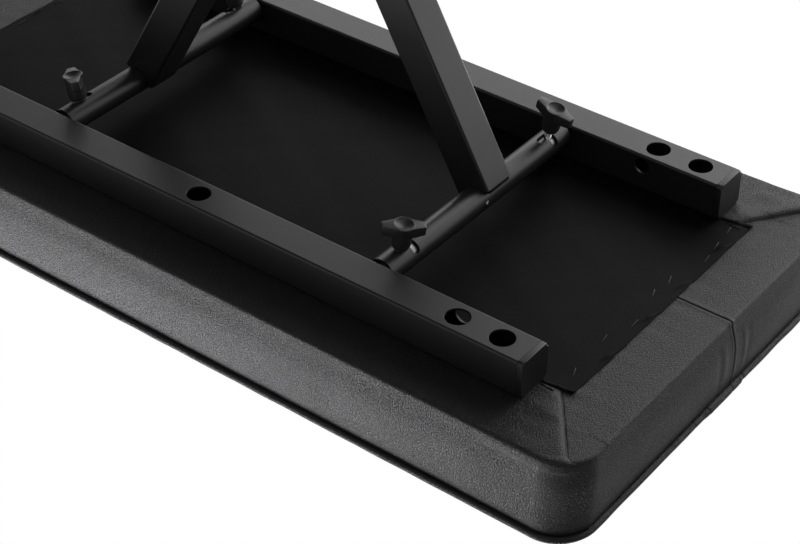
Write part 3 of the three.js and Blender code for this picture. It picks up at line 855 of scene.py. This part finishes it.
def piping_mesh():
    """Covered cord round the top seam; its ends overlap at the right end's middle."""
    path = seat_ring(PIPING_INSET, PIPING_INSET, BORDER_Z + BAND_HEIGHT)
    closed = np.concatenate([path, path[:1]])
    about_joint = (path[:, 0] > SEAT_HALF.x - 5 * MM) & (np.abs(path[:, 1]) < 48 * MM)
    counts = np.where(about_joint, PIPING_STEPS, 1)
    places = [i + k / PIPING_STEPS for i, count in enumerate(counts) for k in range(count)]
    path = np.stack([np.interp(places, range(len(closed)), closed[:, axis]) for axis in range(3)], axis=1)
    along = np.roll(path, -1, axis=0) - np.roll(path, 1, axis=0)
    along /= np.linalg.norm(along, axis=1, keepdims=True)
    outwards = np.stack([along[:, 1], -along[:, 0], np.zeros(len(path))], axis=1)
    travel = np.cumsum(np.linalg.norm(path - np.roll(path, 1, axis=0), axis=1))
    at_end = path[:, 0] > SEAT_HALF.x - 10 * MM
    y = path[:, 1]
    lap = smooth(JOINT_START, JOINT_START + 1.2 * MM, y) * (1 - smooth(JOINT_END - 9 * MM, JOINT_END, y))
    crimp = sum(bell(y - place * MM, 0.6 * MM) for place in CRIMPS)
    radius = PIPING_RADIUS * (1 + 0.035 * ripple(travel, 26 * MM, 21) + at_end * (0.26 * lap - 0.14 * crimp))
    points = []
    for out, up in circle(1, PIPING_SIDES):
        offset = outwards * (radius * out)[:, None]
        offset[:, 2] += radius * up
        points.append(path + offset)
    faces = grid_faces(PIPING_SIDES, len(path), looped=True)
    return shaded(outward(mesh_of("piping", np.concatenate(points), faces)), crease=60)


LINER_HALF = Vector((272.2, 101.0)) * MM
LINER_SHIFT = -1.8 * MM
LINER_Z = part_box("dust_cloth")[0].z
LINER_THICKNESS = 0.5 * MM
LINER_STEP = 2.5 * MM
LINER_TUCKS = [(268.7, 58.7), (268.5, 13.5), (267.6, -25.5), (267.6, -73.3), (-272.5, 44.0), (-272.0, -18.0),
               (-272.6, -62.0)]
TUCK_DEPTH = 1.3
TUCK_PULL = 1.6


def edge_crowded(half):
    """Places from -1 to 1 across the liner, closer together towards its edges."""
    even = np.linspace(-1, 1, round(2 * half / LINER_STEP) + 1)
    close = 1 - np.arange(1, 16) * 0.4 * MM / half
    return np.unique(np.concatenate([even, close, -close]).round(6))


def liner_mesh():
    """Stapled liner: a little uneven along its cut ends, with small tucks there and turned-in long edges."""
    u, v = np.meshgrid(edge_crowded(LINER_HALF.x), edge_crowded(LINER_HALF.y), indexing="ij")
    x, y = (u * LINER_HALF.x + LINER_SHIFT) / MM, v * LINER_HALF.y / MM
    x = x + 0.3 * ripple(y, 31, 31) * u * np.abs(u) ** 8
    y = y + 0.4 * ripple(x, 40, 32) * v * np.abs(v) ** 6
    corner = v * smooth(0.9, 1, np.abs(v)) * smooth(248, 270, np.abs(x))
    y = y + corner * np.where(x * y > 0, -2.4, 3.6)
    free = (np.abs(y) < 92) | (np.abs(x) > 252)
    sag = (0.5 + 0.5 * ripple(x * 0.6 - y, 55, 34)) * smooth(0, 8, 94 - np.abs(y))
    z = 0.06 * ripple(x + y, 37, 33) - 0.28 * free * sag
    inside = (1 - np.abs(v)) * LINER_HALF.y / MM
    turned = np.sqrt(np.clip(1 - (inside / 1.5 - 1) ** 2, 0, 1)) * (1 + 0.35 * ripple(x, 7, 35))
    z = z - 0.85 * turned * smooth(247, 252, np.abs(x))
    for tx, ty in LINER_TUCKS:
        across = x - tx
        along = y - ty + math.copysign(1.9, tx) * across
        fold = bell(across, 2.2) * bell(along, 2.4)
        z = z - TUCK_DEPTH * fold
        x = x - math.copysign(TUCK_PULL, tx) * fold
    points = np.stack([x * MM, y * MM, LINER_Z + LINER_THICKNESS + z * MM], axis=2).reshape(-1, 3)
    mesh = mesh_of("liner", points, grid_faces(*u.shape, closed=False))
    return shaded(outward(modified(mesh, "SOLIDIFY", thickness=LINER_THICKNESS, offset=0)), crease=60)


STAPLE_PLACES = [
    (257.6, 46.5, 79), (260.5, 82.4, 69), (257.6, -7.4, 70), (258.4, -24.7, 71), (263.0, -72.4, 80),
    (261.0, -90.7, 80), (261.3, -97.2, 3), (265.2, -57.0, 84), (264.0, 24.0, 86),
    (-268.6, 1.6, 84), (-269.4, -35.4, 96), (-267.5, 38.0, 88), (-268.2, 79.0, 100), (-266.8, -70.0, 82),
    (-12.0, -98.0, 2), (-150.0, 98.2, 176), (96.0, 98.0, 5), (168.0, -98.2, 178),
]
STAPLE_LENGTH = 8 * MM
STAPLE_WIRE_RADIUS = 0.24 * MM
STAPLE_LEG = 1.6 * MM
STAPLE_BEND = 0.5 * MM


def staple_tree():
    """Staples on points: each point's turn comes from its attribute."""
    tree = bpy.data.node_groups.new("staples", "GeometryNodeTree")
    lengths = {"Length": STAPLE_LENGTH, "Leg": STAPLE_LEG, "Wire Radius": STAPLE_WIRE_RADIUS}
    tree.interface.new_socket("Geometry", in_out="INPUT", socket_type="NodeSocketGeometry")
    for name, value in lengths.items():
        socket = tree.interface.new_socket(name, in_out="INPUT", socket_type="NodeSocketFloat")
        socket.default_value = value
    tree.interface.new_socket("Geometry", in_out="OUTPUT", socket_type="NodeSocketGeometry")
    make = NodeTree(tree).node
    places = make("NodeGroupInput", output="Geometry")
    length, leg, radius = (make("NodeGroupInput", output=name) for name in lengths)
    crown = make("GeometryNodeCurvePrimitiveQuadrilateral", None, {"Width": length, "Height": leg})
    bends = {"Curve": crown, "Radius": STAPLE_BEND, "Count": 3}
    bent = make("GeometryNodeFilletCurve", {"mode": "POLY"}, bends)
    section = make("GeometryNodeCurvePrimitiveCircle", None, {"Resolution": 8, "Radius": radius})
    wire = make("GeometryNodeCurveToMesh", None, {"Curve": bent, "Profile Curve": section})
    stand = make("GeometryNodeTransform", None, {"Geometry": wire, "Rotation": (math.pi / 2, 0, 0)})
    kind = {"data_type": "FLOAT"}
    turns = make("GeometryNodeInputNamedAttribute", kind, {"Name": "turn"}, output="Attribute")
    about = make("ShaderNodeCombineXYZ", None, {"Z": turns})
    inputs = {"Points": places, "Instance": stand, "Rotation": about}
    spread = make("GeometryNodeInstanceOnPoints", None, inputs)
    real = make("GeometryNodeRealizeInstances", None, {"Geometry": spread})
    painted = make("GeometryNodeSetMaterial", None, {"Geometry": real, "Material": STAPLE_WIRE})
    make("NodeGroupOutput", None, {"Geometry": painted})
    return tree


def staples_mesh():
    """The liner's staples at both ends, sunk to their crowns."""
    low = LINER_Z - 0.15 * MM + STAPLE_LEG / 2
    points = [(x * MM, y * MM, low) for x, y, _ in STAPLE_PLACES]
    turns = [math.radians(turn) for _, _, turn in STAPLE_PLACES]
    mesh = mesh_of("staples", points, [])
    mesh.attributes.new("turn", "FLOAT", "POINT").data.foreach_set("value", turns)
    return shaded(modified(mesh, "NODES", node_group=staple_tree()), crease=50)


def add_seat():
    cover = piece("cover_fitted", cover_mesh(), "leatherette", "seat", "seat_cover")
    piece("piping_cord", piping_mesh(), "leatherette", "seat", "seat_piping")
    liner = piece("liner_stapled", liner_mesh(), "liner_cloth", "seat", "dust_cloth")
    staples = piece("liner_staples", staples_mesh(), "zinc_steel", "seat", material=STAPLE_WIRE)


add_seat()


# Rails and their caps

RAIL_WIDTH = 25 * MM
RAIL_CORNER = 1.5 * MM
RAIL_WALL = 1.5 * MM
ACCESS_RADIUS = 7.75 * MM
ACCESS_PLACES = (-227.6, -196.7, 0.0, 196.7, 227.6)
PIN_HOLE_RADIUS = 5.3 * MM
PIN_PLACES = (-192.6, -131.0, 131.0, 192.6)
PIN_DEPTH = 8 * MM
SCREW_HOLE_RADIUS = 3.0 * MM
HOLE_EDGE = 0.35 * MM
DRILL_STEPS = 48


def flared_drill(radius, steps=DRILL_STEPS):
    """A drill along Z whose mouth, at the origin, eases the hole's outer edge."""
    reach, wide = 4 * RAIL_WALL, radius + HOLE_EDGE
    profile = [(0, -reach), (radius, -reach), (radius, -HOLE_EDGE)]
    profile += arc(wide, -HOLE_EDGE, HOLE_EDGE, 157.5, 112.5, 2)
    profile += [(wide, HOLE_EDGE), (wide, reach), (0, reach)]
    return revolved(profile, steps)


def rail_mesh(rail, side):
    mesh = moved(square_tube(RAIL_WIDTH, RAIL_CORNER, RAIL_WALL, extent(rail).x), turn(90, "Y"))
    half = RAIL_WIDTH / 2
    tools = []
    for x in ACCESS_PLACES:
        tools.append(moved(flared_drill(ACCESS_RADIUS), shift(x * MM, 0, -half) @ turn(180, "X")))
        tools.append(moved(flared_drill(SCREW_HOLE_RADIUS, 20), shift(x * MM, 0, half)))
    for x in PIN_PLACES:
        place = shift(x * MM, -side * half, PIN_DEPTH - half)
        tools.append(moved(flared_drill(PIN_HOLE_RADIUS), place @ turn(90 * side, "X")))
    mesh = carved(outward(mesh), tools)
    return shaded(moved(mesh, shift(*middle(rail))), crease=35, flat_area=1.5e-4)


CAP_EDGE = 1.5 * MM
CAP_CORNER = 2.4 * MM
CAP_THICKNESS = 3.8 * MM
PLUG_PLAY = 0.8 * MM
PLUG_WALL = 1.8 * MM
PLUG_LENGTH = 9 * MM


def cap_mesh(node, end):
    """A rail cap: a softened square flange and the hollow plug behind it."""
    low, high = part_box(node)
    face = high.x if end > 0 else low.x
    outline = rounded_square(high.y - low.y, CAP_CORNER, 6)
    flange = bpy.data.meshes.new("flange")
    with reworked(flange) as work:
        points = [work.verts.new((x, y, z)) for z in (0, CAP_THICKNESS) for x, y in outline]
        for corners in stack_faces(2, len(outline)):
            work.faces.new([points[i] for i in corners])
        rim = [edge for edge in work.edges if all(v.co.z > 0 for v in edge.verts)]
        bmesh.ops.bevel(work, geom=rim, offset=CAP_EDGE, segments=4, profile=0.5, affect="EDGES")
    plug = square_tube(RAIL_WIDTH - 2 * RAIL_WALL - PLUG_PLAY, RAIL_WALL, PLUG_WALL, PLUG_LENGTH, 4)
    mesh = joined([flange, moved(plug, shift(0, 0, 0.1 * MM - PLUG_LENGTH / 2))])
    stand = middle(node)
    stand.x = face - end * CAP_THICKNESS
    return shaded(moved(mesh, shift(*stand) @ turn(90 * end, "Y")), crease=35, flat_area=1e-4)


def add_rails():
    for side, word in ((-1, "front"), (1, "back")):
        rail = f"rail_{word}"
        piece(f"{rail}_coated", rail_mesh(rail, side), "powder_coat", "seat", rail)
        for end, hand in ((-1, "left"), (1, "right")):
            node = f"rail_cap_{word}_{hand}"
            piece(f"{node}_moulded", cap_mesh(node, end), "black_plastic", "seat", node)


add_rails()


# Frames: cross tube with its two slots, leg, foot bar

TUBE_RADIUS = 9 * MM
TUBE_WALL = 1.5 * MM
TUBE_STEPS = 96
SLOT_WIDTH = 5.9 * MM
PIN_TRAVEL = 8.2 * MM
BRANCH_REACH = math.radians(42) * TUBE_RADIUS
LEG_WIDTH = 25 * MM
LEG_CORNER = 1.5 * MM
LEG_WALL = 1.5 * MM
LEG_ANGLE = 30
LEG_TOP_GAP = 3.6 * MM
LEG_FOOT_GAP = 5 * MM
BAR_RADIUS = 12.5 * MM
WELD_GAP = 0.3 * MM
PIVOT_HOLE = 4.3 * MM
JOINTS = {joint["name"]: joint for joint in frame["joints"]}
PIVOT = Vector(JOINTS["scissor"]["pos_m"])
LEG_HALF = (Vector(JOINTS["fold"]["pos_m"]) - PIVOT).length
ENDS = {
    "right": (("front", -1, False), ("back", 1, True)),
    "left": (("front", -1, True), ("back", 1, False)),
}


def slot_outline(branch_inside):
    """The L of a slot as (inwards, round) lengths from the screw's place."""
    half = SLOT_WIDTH / 2
    points = arc(PIN_TRAVEL, 0, half, -90, 90, 8) + [(half + i * MM, half) for i in (2, 1, 0)]
    points += [(half, BRANCH_REACH * i / 4) for i in (2, 3)] + arc(0, BRANCH_REACH, half, 0, 180, 8)
    points += [(-half, BRANCH_REACH * i / 4) for i in (3, 2, 1)] + arc(0, 0, half, 180, 270, 8)
    return [(PIN_TRAVEL - u, v) for u, v in reversed(points)] if branch_inside else points


def slot_tool(place, side, branch_inside):
    """The slot's outline wrapped round the tube as a cutter."""
    joint = JOINTS[f"knob_turn_{place}"]
    pos, axis = Vector(joint["pos_m"]), Vector(joint["axis"])
    tilt = math.atan2(axis.x, -axis.z)
    outline = slot_outline(branch_inside)
    points = []
    for radius in (TUBE_RADIUS - 3.2 * TUBE_WALL, TUBE_RADIUS + 2 * TUBE_WALL):
        for u, v in outline:
            angle = tilt + math.copysign(v / TUBE_RADIUS, pos.x * v) if v else tilt
            points.append((radius * math.sin(angle), pos.y - side * u, -radius * math.cos(angle)))
    return outward(mesh_of("slot", points, stack_faces(2, len(outline))))


def round_tube(node, radius):
    """A round tube as long as its node, along Y about the origin."""
    mesh = walled_tube(circle(radius, TUBE_STEPS), circle(radius - TUBE_WALL, TUBE_STEPS), extent(node).y)
    return outward(moved(mesh, turn(-90, "X")))


def cross_tube_mesh(word):
    node = f"cross_tube_{word}"
    tools = [slot_tool(f"{word}_{end}", side, inside) for end, side, inside in ENDS[word]]
    mesh = carved(round_tube(node, TUBE_RADIUS), tools)
    return shaded(moved(mesh, shift(*middle(node))), crease=30)


def leg_place(word, lean):
    """From a leg's own axes, Z along it from the pivot, to the bench's."""
    return shift(PIVOT.x, middle(f"leg_{word}").y, PIVOT.z) @ turn(lean * LEG_ANGLE, "Y")


def leg_mesh(word, lean):
    """The leg, coped over the cross tube above and the foot bar below."""
    top, bottom = LEG_HALF - LEG_TOP_GAP, LEG_HALF - LEG_FOOT_GAP
    mesh = moved(square_tube(LEG_WIDTH, LEG_CORNER, LEG_WALL, top + bottom), shift(0, 0, (top - bottom) / 2))
    tools = []
    bores = ((TUBE_RADIUS + WELD_GAP, LEG_HALF), (BAR_RADIUS + WELD_GAP, -LEG_HALF), (PIVOT_HOLE, 0))
    for radius, height in bores:
        rod = cylinder(radius, -2 * LEG_WIDTH, 2 * LEG_WIDTH, 72)
        tools.append(moved(rod, shift(0, 0, height) @ turn(90, "X")))
    mesh = carved(outward(mesh), tools)
    return shaded(moved(mesh, leg_place(word, lean)), crease=35, flat_area=3e-4)


WELD_RADIUS = 1.0 * MM
# Radius of the black strip across each leg's end, a painted shadow of the gap there.
END_SHADOW_BEAD_RADIUS = 1.5 * MM
WELD_STEPS = 26
WELD_SPREAD = math.radians(62)
WELD_SIDES = 8
WELD_SUNK = 0.9 * MM


def weld_mesh(word, lean, side):
    """A weld bead where the leg's wall meets the cross tube, with the ripples of its run."""
    middle_line = middle(f"cross_tube_{word}")
    middle_line.y = middle(f"leg_{word}").y + side * (LEG_WIDTH / 2 - WELD_SUNK)
    points = []
    for i in range(WELD_STEPS + 1):
        angle = WELD_SPREAD * (2 * i / WELD_STEPS - 1)
        out = turn(lean * LEG_ANGLE, "Y") @ Vector((math.sin(angle), 0, -math.cos(angle)))
        ends = min(i, WELD_STEPS - i) / 3
        swell = WELD_RADIUS * min(1, 0.35 + 0.3 * ends) * (1 + 0.13 * math.cos(i * 2.1))
        for rise, across in circle(swell, WELD_SIDES):
            points.append(middle_line + out * (TUBE_RADIUS + rise) + Vector((0, side * across, 0)))
    return outward(mesh_of("weld", points, stack_faces(WELD_STEPS + 1, WELD_SIDES)))


def end_gap_shadow_mesh(word, lean, side):
    """A black bead across the leg's end, between its flat wall and the cross tube: painted shadow, a dark strip
    where the gap under the wall's cut end shows.
    """
    profile = arc(0, END_SHADOW_BEAD_RADIUS - LEG_WIDTH / 2 + LEG_CORNER, END_SHADOW_BEAD_RADIUS, -90, 0, 3)
    profile += [(radius, -height) for radius, height in reversed(profile)]
    profile[0], profile[-1] = (0, profile[0][1]), (0, profile[-1][1])
    spot = shift(side * (LEG_WIDTH / 2 - 1.7 * MM), 0, LEG_HALF - LEG_TOP_GAP + 0.9 * MM)
    return moved(revolved(profile, 16), leg_place(word, lean) @ spot @ turn(90, "X"))


def foot_bar_mesh(word):
    node = f"foot_bar_{word}"
    return shaded(moved(round_tube(node, BAR_RADIUS), shift(*middle(node))), crease=30)


CHIP_PLACE = Vector((140.0, -0.6, 468.0)) * MM
CHIP_SIZE = Vector((0.7, 1.6, 2.3)) * MM


def chip_mesh():
    """A small lump of bare metal where the right tube's coat is chipped."""
    mesh = bpy.data.meshes.new("chip")
    with reworked(mesh) as work:
        bmesh.ops.create_icosphere(work, subdivisions=2, radius=1)
        for vertex in work.verts:
            wander = 1 + 0.25 * math.sin(5 * vertex.co.y + 3 * vertex.co.z)
            vertex.co = CHIP_PLACE + Vector(a * b * wander for a, b in zip(vertex.co, CHIP_SIZE))
    return shaded(mesh, crease=60)


def add_frames():
    for word, lean in (("right", 1), ("left", -1)):
        body = f"frame_{word}"
        parts = (("cross_tube", cross_tube_mesh(word)), ("leg", leg_mesh(word, lean)),
                 ("foot_bar", foot_bar_mesh(word)))
        for name, mesh in parts:
            piece(f"{name}_{word}_coated", mesh, "powder_coat", body, f"{name}_{word}")
        # Both kinds of weld bead are painted black as shadow: the contact shadow and gap where each leg meets its
        # cross tube.
        beads = [make(word, lean, side) for make in (weld_mesh, end_gap_shadow_mesh) for side in (-1, 1)]
        piece(f"weld_shadows_{word}", shaded(joined(beads), crease=60), "powder_coat", body, material=WELD_SHADOW_BLACK)
    piece("coat_chip", chip_mesh(), "powder_coat", "frame_right", material=FINISHES["zinc_steel"])


add_frames()


# Locking ends: knob and threaded screw on each pin

KNOB_HEIGHT = 17.4 * MM
KNOB_NECK = 6.0 * MM
KNOB_RIM = 6.7 * MM
KNOB_FOOT = 4.6 * MM
KNOB_BORE = 2.8 * MM
KNOB_BORE_DEPTH = 9 * MM
BORE_EDGE = 0.3 * MM
FLARE_HEIGHT = 4 * MM
RIM_WIDTH = 1.1 * MM
DISH_DEPTH = 1.8 * MM
DISH_RADIUS = KNOB_RIM - RIM_WIDTH
WING_SPAN = 26.6 * MM
WING_HEIGHT = 7.0 * MM
WING_BELOW_RIM = 0.2 * MM
WING_TIP = 5.2 * MM
WING_ROOT = 10.4 * MM
WING_LEAVES = 4.0 * MM
WING_EDGE = 0.45 * MM
WING_STATIONS = 14
SCREW_RADIUS = 2.3 * MM
THREAD_PITCH = 0.8 * MM
THREAD_DEPTH = 0.42 * MM
THREAD_SIDES = 24
COLLAR_RADIUS = 4.9 * MM
COLLAR_HEIGHT = 0.5 * MM
COLLAR_TOP = TUBE_RADIUS - 0.05 * MM
LIFTS = {"right_front": 5.0 * MM, "right_back": 1.7 * MM, "left_back": 0.6 * MM, "left_front": 1.2 * MM}
WING_TURNS = {"right_front": -4, "right_back": 44, "left_back": -38, "left_front": 20}


def knob_profile():
    """The knob's round body from its bore, over foot, neck and rim, down into the dish."""
    points = [(0, KNOB_BORE_DEPTH), (KNOB_BORE, KNOB_BORE_DEPTH)]
    points += [(KNOB_BORE, BORE_EDGE), (KNOB_BORE + BORE_EDGE, 0)]
    points += arc(KNOB_FOOT, FLARE_HEIGHT, KNOB_NECK - KNOB_FOOT, -90, 0, 6, FLARE_HEIGHT)
    points.append((KNOB_NECK, KNOB_HEIGHT - WING_BELOW_RIM - WING_HEIGHT))
    points.append((KNOB_RIM - 0.15 * MM, KNOB_HEIGHT - 1.4 * MM))
    half = RIM_WIDTH / 2
    points += arc(KNOB_RIM - half, KNOB_HEIGHT - half, half, 0, 180, 6)
    for i in range(1, 9):
        share = i / 8
        fall = DISH_DEPTH * math.sin(share * math.pi / 2) ** 0.8
        points.append((DISH_RADIUS * (1 - share), KNOB_HEIGHT - half - fall))
    return points


def wing_mesh():
    """Both wings as one bar: straight sides that leave the rim at a tangent, blunt tips and a level top."""
    tip, root = WING_TIP / 2, WING_ROOT / 2
    top = KNOB_HEIGHT - WING_BELOW_RIM
    bottom = top - WING_HEIGHT
    points = []
    for i in range(-WING_STATIONS, WING_STATIONS + 1):
        x = i / WING_STATIONS * WING_SPAN / 2
        out = max(abs(x) - WING_LEAVES, 0) / (WING_SPAN / 2 - WING_LEAVES)
        half = root + (tip - root) * out
        low, high = bottom + 0.6 * MM * out ** 2, top - 0.3 * MM * out ** 2
        points += [(x, -half, low), (x, half, low), (x, half * 0.97, high), (x, -half * 0.97, high)]
    bar = outward(mesh_of("wings", points, stack_faces(2 * WING_STATIONS + 1, 4)))
    return modified(bar, "BEVEL", width=WING_EDGE, segments=3, limit_method="ANGLE",
                    angle_limit=math.radians(50))


def knob_mesh():
    """A dished two-wing knob along Z, its foot at the origin."""
    clear = cylinder(DISH_RADIUS, KNOB_HEIGHT - DISH_DEPTH - RIM_WIDTH, KNOB_HEIGHT + WING_HEIGHT, 64)
    core = cylinder(KNOB_FOOT, -WING_HEIGHT, KNOB_HEIGHT, 64)
    wings = carved(carved(wing_mesh(), [clear]), [core])
    return shaded(carved(revolved(knob_profile(), 64), [wings], "UNION"), crease=38)


def screw_mesh(length):
    """A threaded screw along Z from the origin, with a ridge that climbs a pitch each turn."""
    rows = round(length / THREAD_PITCH * 8)
    points = []
    for i in range(rows + 1):
        z = length * i / rows
        fade = min(1, z / THREAD_PITCH, (length - z) / THREAD_PITCH)
        for j, (x, y) in enumerate(circle(1, THREAD_SIDES)):
            phase = (z / THREAD_PITCH - j / THREAD_SIDES) % 1
            crest = 1 - abs(2 * phase - 1)
            radius = SCREW_RADIUS - THREAD_DEPTH * (1 - min(1, crest * 1.3) * max(fade, 0))
            points.append((radius * x, radius * y, z))
    return mesh_of("screw", points, stack_faces(rows + 1, THREAD_SIDES))


def end_matrix(place):
    """From a knob's own axes to the row's: the pin's middle, with Z along the screw."""
    joint = JOINTS[f"knob_turn_{place}"]
    pos, axis = Vector(joint["pos_m"]), Vector(joint["axis"])
    along = Vector((0, -1 if pos.x > 0 else 1, 0))
    return shift(*pos) @ Matrix(((-along).cross(axis), -along, axis)).transposed().to_4x4()


def add_locking_ends():
    for place, lift in LIFTS.items():
        stand = end_matrix(place)
        body = f"turn_{place}"
        collar = cylinder(COLLAR_RADIUS, COLLAR_TOP - COLLAR_HEIGHT, COLLAR_TOP, 48)
        screw = carved(screw_mesh(TUBE_RADIUS + KNOB_BORE_DEPTH - 0.3 * MM), [collar], "UNION")
        moved(shaded(screw, crease=50), stand @ shift(0, 0, lift))
        piece(f"screw_{place}_threaded", screw, "chrome_screw", body, f"knob_screw_{place}")
        knob = moved(knob_mesh(), stand @ shift(0, 0, TUBE_RADIUS + lift) @ turn(WING_TURNS[place], "Z"))
        piece(f"knob_{place}_moulded", knob, "knob_plastic", body, f"knob_{place}")


add_locking_ends()


# Pieces whose CAD shape is right: a merged copy with smooth rounds

CORNERS = ("right_front", "right_back", "left_front", "left_back")
ROUND_PIECES = {
    "zinc_steel": [*(f"locking_pin_{corner}" for corner in CORNERS), "pivot_bolt", "pivot_nut",
                   "pivot_washer_front", "pivot_washer_back", "pivot_bush_right", "pivot_bush_left"],
    "foot_rubber": [f"foot_cap_{corner}" for corner in CORNERS],
    "black_plastic": ["pivot_spacer"],
    "foam": ["seat_foam"],
}
BODY_OF = {node: body for body, nodes in frame["record"]["behaviour"]["bodies"].items() for node in nodes}


def add_round_pieces():
    for slot, nodes in ROUND_PIECES.items():
        for node in nodes:
            mesh = frame["nodes"][node].data.copy()
            piece(f"{node}_finished", shaded(mesh, crease=24), slot, BODY_OF[node], node)


add_round_pieces()


def paint_kept_nodes():
    """Every CAD node that still shows gets its slot's finish."""
    slots = {part["node"]: part["material_slot"] for part in frame["record"]["subparts"]}
    for name, node in frame["nodes"].items():
        node.data.materials.clear()
        node.data.materials.append(FINISHES[slots[name]])


paint_kept_nodes()


# Studio: a pale floor that only shows and shades from above, a white world, soft lamps above and below

FLOOR_SIZE = 6
FLOOR_FADES = 0.6
FLOOR_WHITE = 1.2


def floor_finish():
    """Pale floor that the camera sees from above, fading into the white room; other rays pass through."""
    f = Finish("studio_floor")
    below = f.node("ShaderNodeNewGeometry", output="Backfacing")
    seen = f.node("ShaderNodeLightPath", output="Is Camera Ray")
    color = f.tint(f.noise(3, 2, 0.5), grey(0.78), grey(0.81))
    spot = f.node("ShaderNodeTexCoord", output="Object")
    away = f.node("ShaderNodeVectorMath", {"operation": "LENGTH"}, {0: spot}, output="Value")
    matt = f.node("ShaderNodeBsdfDiffuse", None, {"Color": color})
    white = f.node("ShaderNodeEmission", None, {"Color": (1, 1, 1, 1)})
    clear = f.node("ShaderNodeBsdfTransparent")
    faded = f.node("ShaderNodeMixShader", None, {0: away.above(FLOOR_FADES, FLOOR_WHITE), 1: matt, 2: white})
    return f.surface(f.node("ShaderNodeMixShader", None, {0: seen * (1 - below), 1: clear, 2: faded}))


def add_floor():
    corners = [(FLOOR_SIZE * x, FLOOR_SIZE * y, 0) for x, y in ((-1, -1), (1, -1), (1, 1), (-1, 1))]
    mesh = mesh_of("studio_floor", corners, [(0, 1, 2, 3)])
    mesh.materials.append(floor_finish())
    floor = bpy.data.objects.new("studio_floor", mesh)
    bpy.context.scene.collection.objects.link(floor)


def set_world(ambient, dim_sides):
    """A dim even light; camera and glass see plain white, gloss too but for the darker sides of the room."""
    world = bpy.data.worlds.new("studio")
    world.use_nodes = True
    bpy.context.scene.world = world
    room = NodeTree(world.node_tree)
    rays = ("Is Camera Ray", "Is Glossy Ray", "Is Transmission Ray")
    camera, glossy, through = (room.node("ShaderNodeLightPath", output=ray) for ray in rays)
    level = camera.larger(glossy).larger(through) * (1 - ambient) + ambient
    toward = room.node("ShaderNodeTexCoord", output="Generated")
    for side, dim, edge, core in dim_sides:
        inputs = {0: toward, 1: Vector(side).normalized()}
        facing = room.node("ShaderNodeVectorMath", {"operation": "DOT_PRODUCT"}, inputs, output="Value")
        shade = facing.above(math.cos(math.radians(edge)), math.cos(math.radians(core))) * dim
        level = level * (1 - shade * glossy)
    shine = room.node("ShaderNodeBackground", None, {"Color": (1, 1, 1, 1), "Strength": level})
    room.node("ShaderNodeOutputWorld", None, {"Surface": shine})


def add_lamp(name, place, aim, width, height, radiance, color=(1, 1, 1)):
    """A soft area lamp turned towards a point; radiance is how bright its face looks, white being 1."""
    data = bpy.data.lights.new(name, "AREA")
    data.shape = "RECTANGLE"
    data.size = width
    data.size_y = height
    data.energy = 4 * width * height * radiance
    data.color = color
    lamp = bpy.data.objects.new(name, data)
    direction = Vector(aim) - Vector(place)
    lamp.matrix_world = shift(*place) @ direction.to_track_quat("-Z", "Y").to_matrix().to_4x4()
    lamp.visible_camera = False
    bpy.context.scene.collection.objects.link(lamp)


AMBIENT = 0.4
DIM_SIDES = [
    ((0.73, -0.06, 0.68), 0.82, 63, 32),
    ((-0.48, 0.08, -0.88), 1.0, 43, 27),
    ((0.86, 0.42, -0.18), 0.75, 38, 20),
    ((-0.55, -0.595, -0.585), 0.9, 12, 4),
]
SEAT_SPOT = (0, 0, 0.5)
add_floor()
set_world(AMBIENT, DIM_SIDES)
add_lamp("back_wall", (-0.35, -1.0, -0.05), (-0.35, 0.0, -0.05), 1.9, 0.44, 3.1)
add_lamp("far_strip", (0.35, -1.0, 0.46), (0.35, 0.0, 0.46), 0.35, 0.6, 6.0)
add_lamp("back_box", (0.3, -1.0, -0.66), (0.3, 0.0, -0.1), 1.0, 0.5, 3.2)
add_lamp("right_wall", (1.05, -1.0, 0.03), (1.05, 0.0, 0.03), 0.9, 1.05, 1.6)
add_lamp("band_box", (-1.22, 1.02, 2.0), (-0.12, -0.03, 0.5), 1.2, 1.1, 9.0, (0.985, 0.965, 1.0))
add_lamp("over_key", (-0.9, -1.3, 2.1), SEAT_SPOT, 1.4, 1.4, 4.0)
add_lamp("over_fill", (0.3, 0.0, 2.9), SEAT_SPOT, 1.4, 1.4, 3.0)
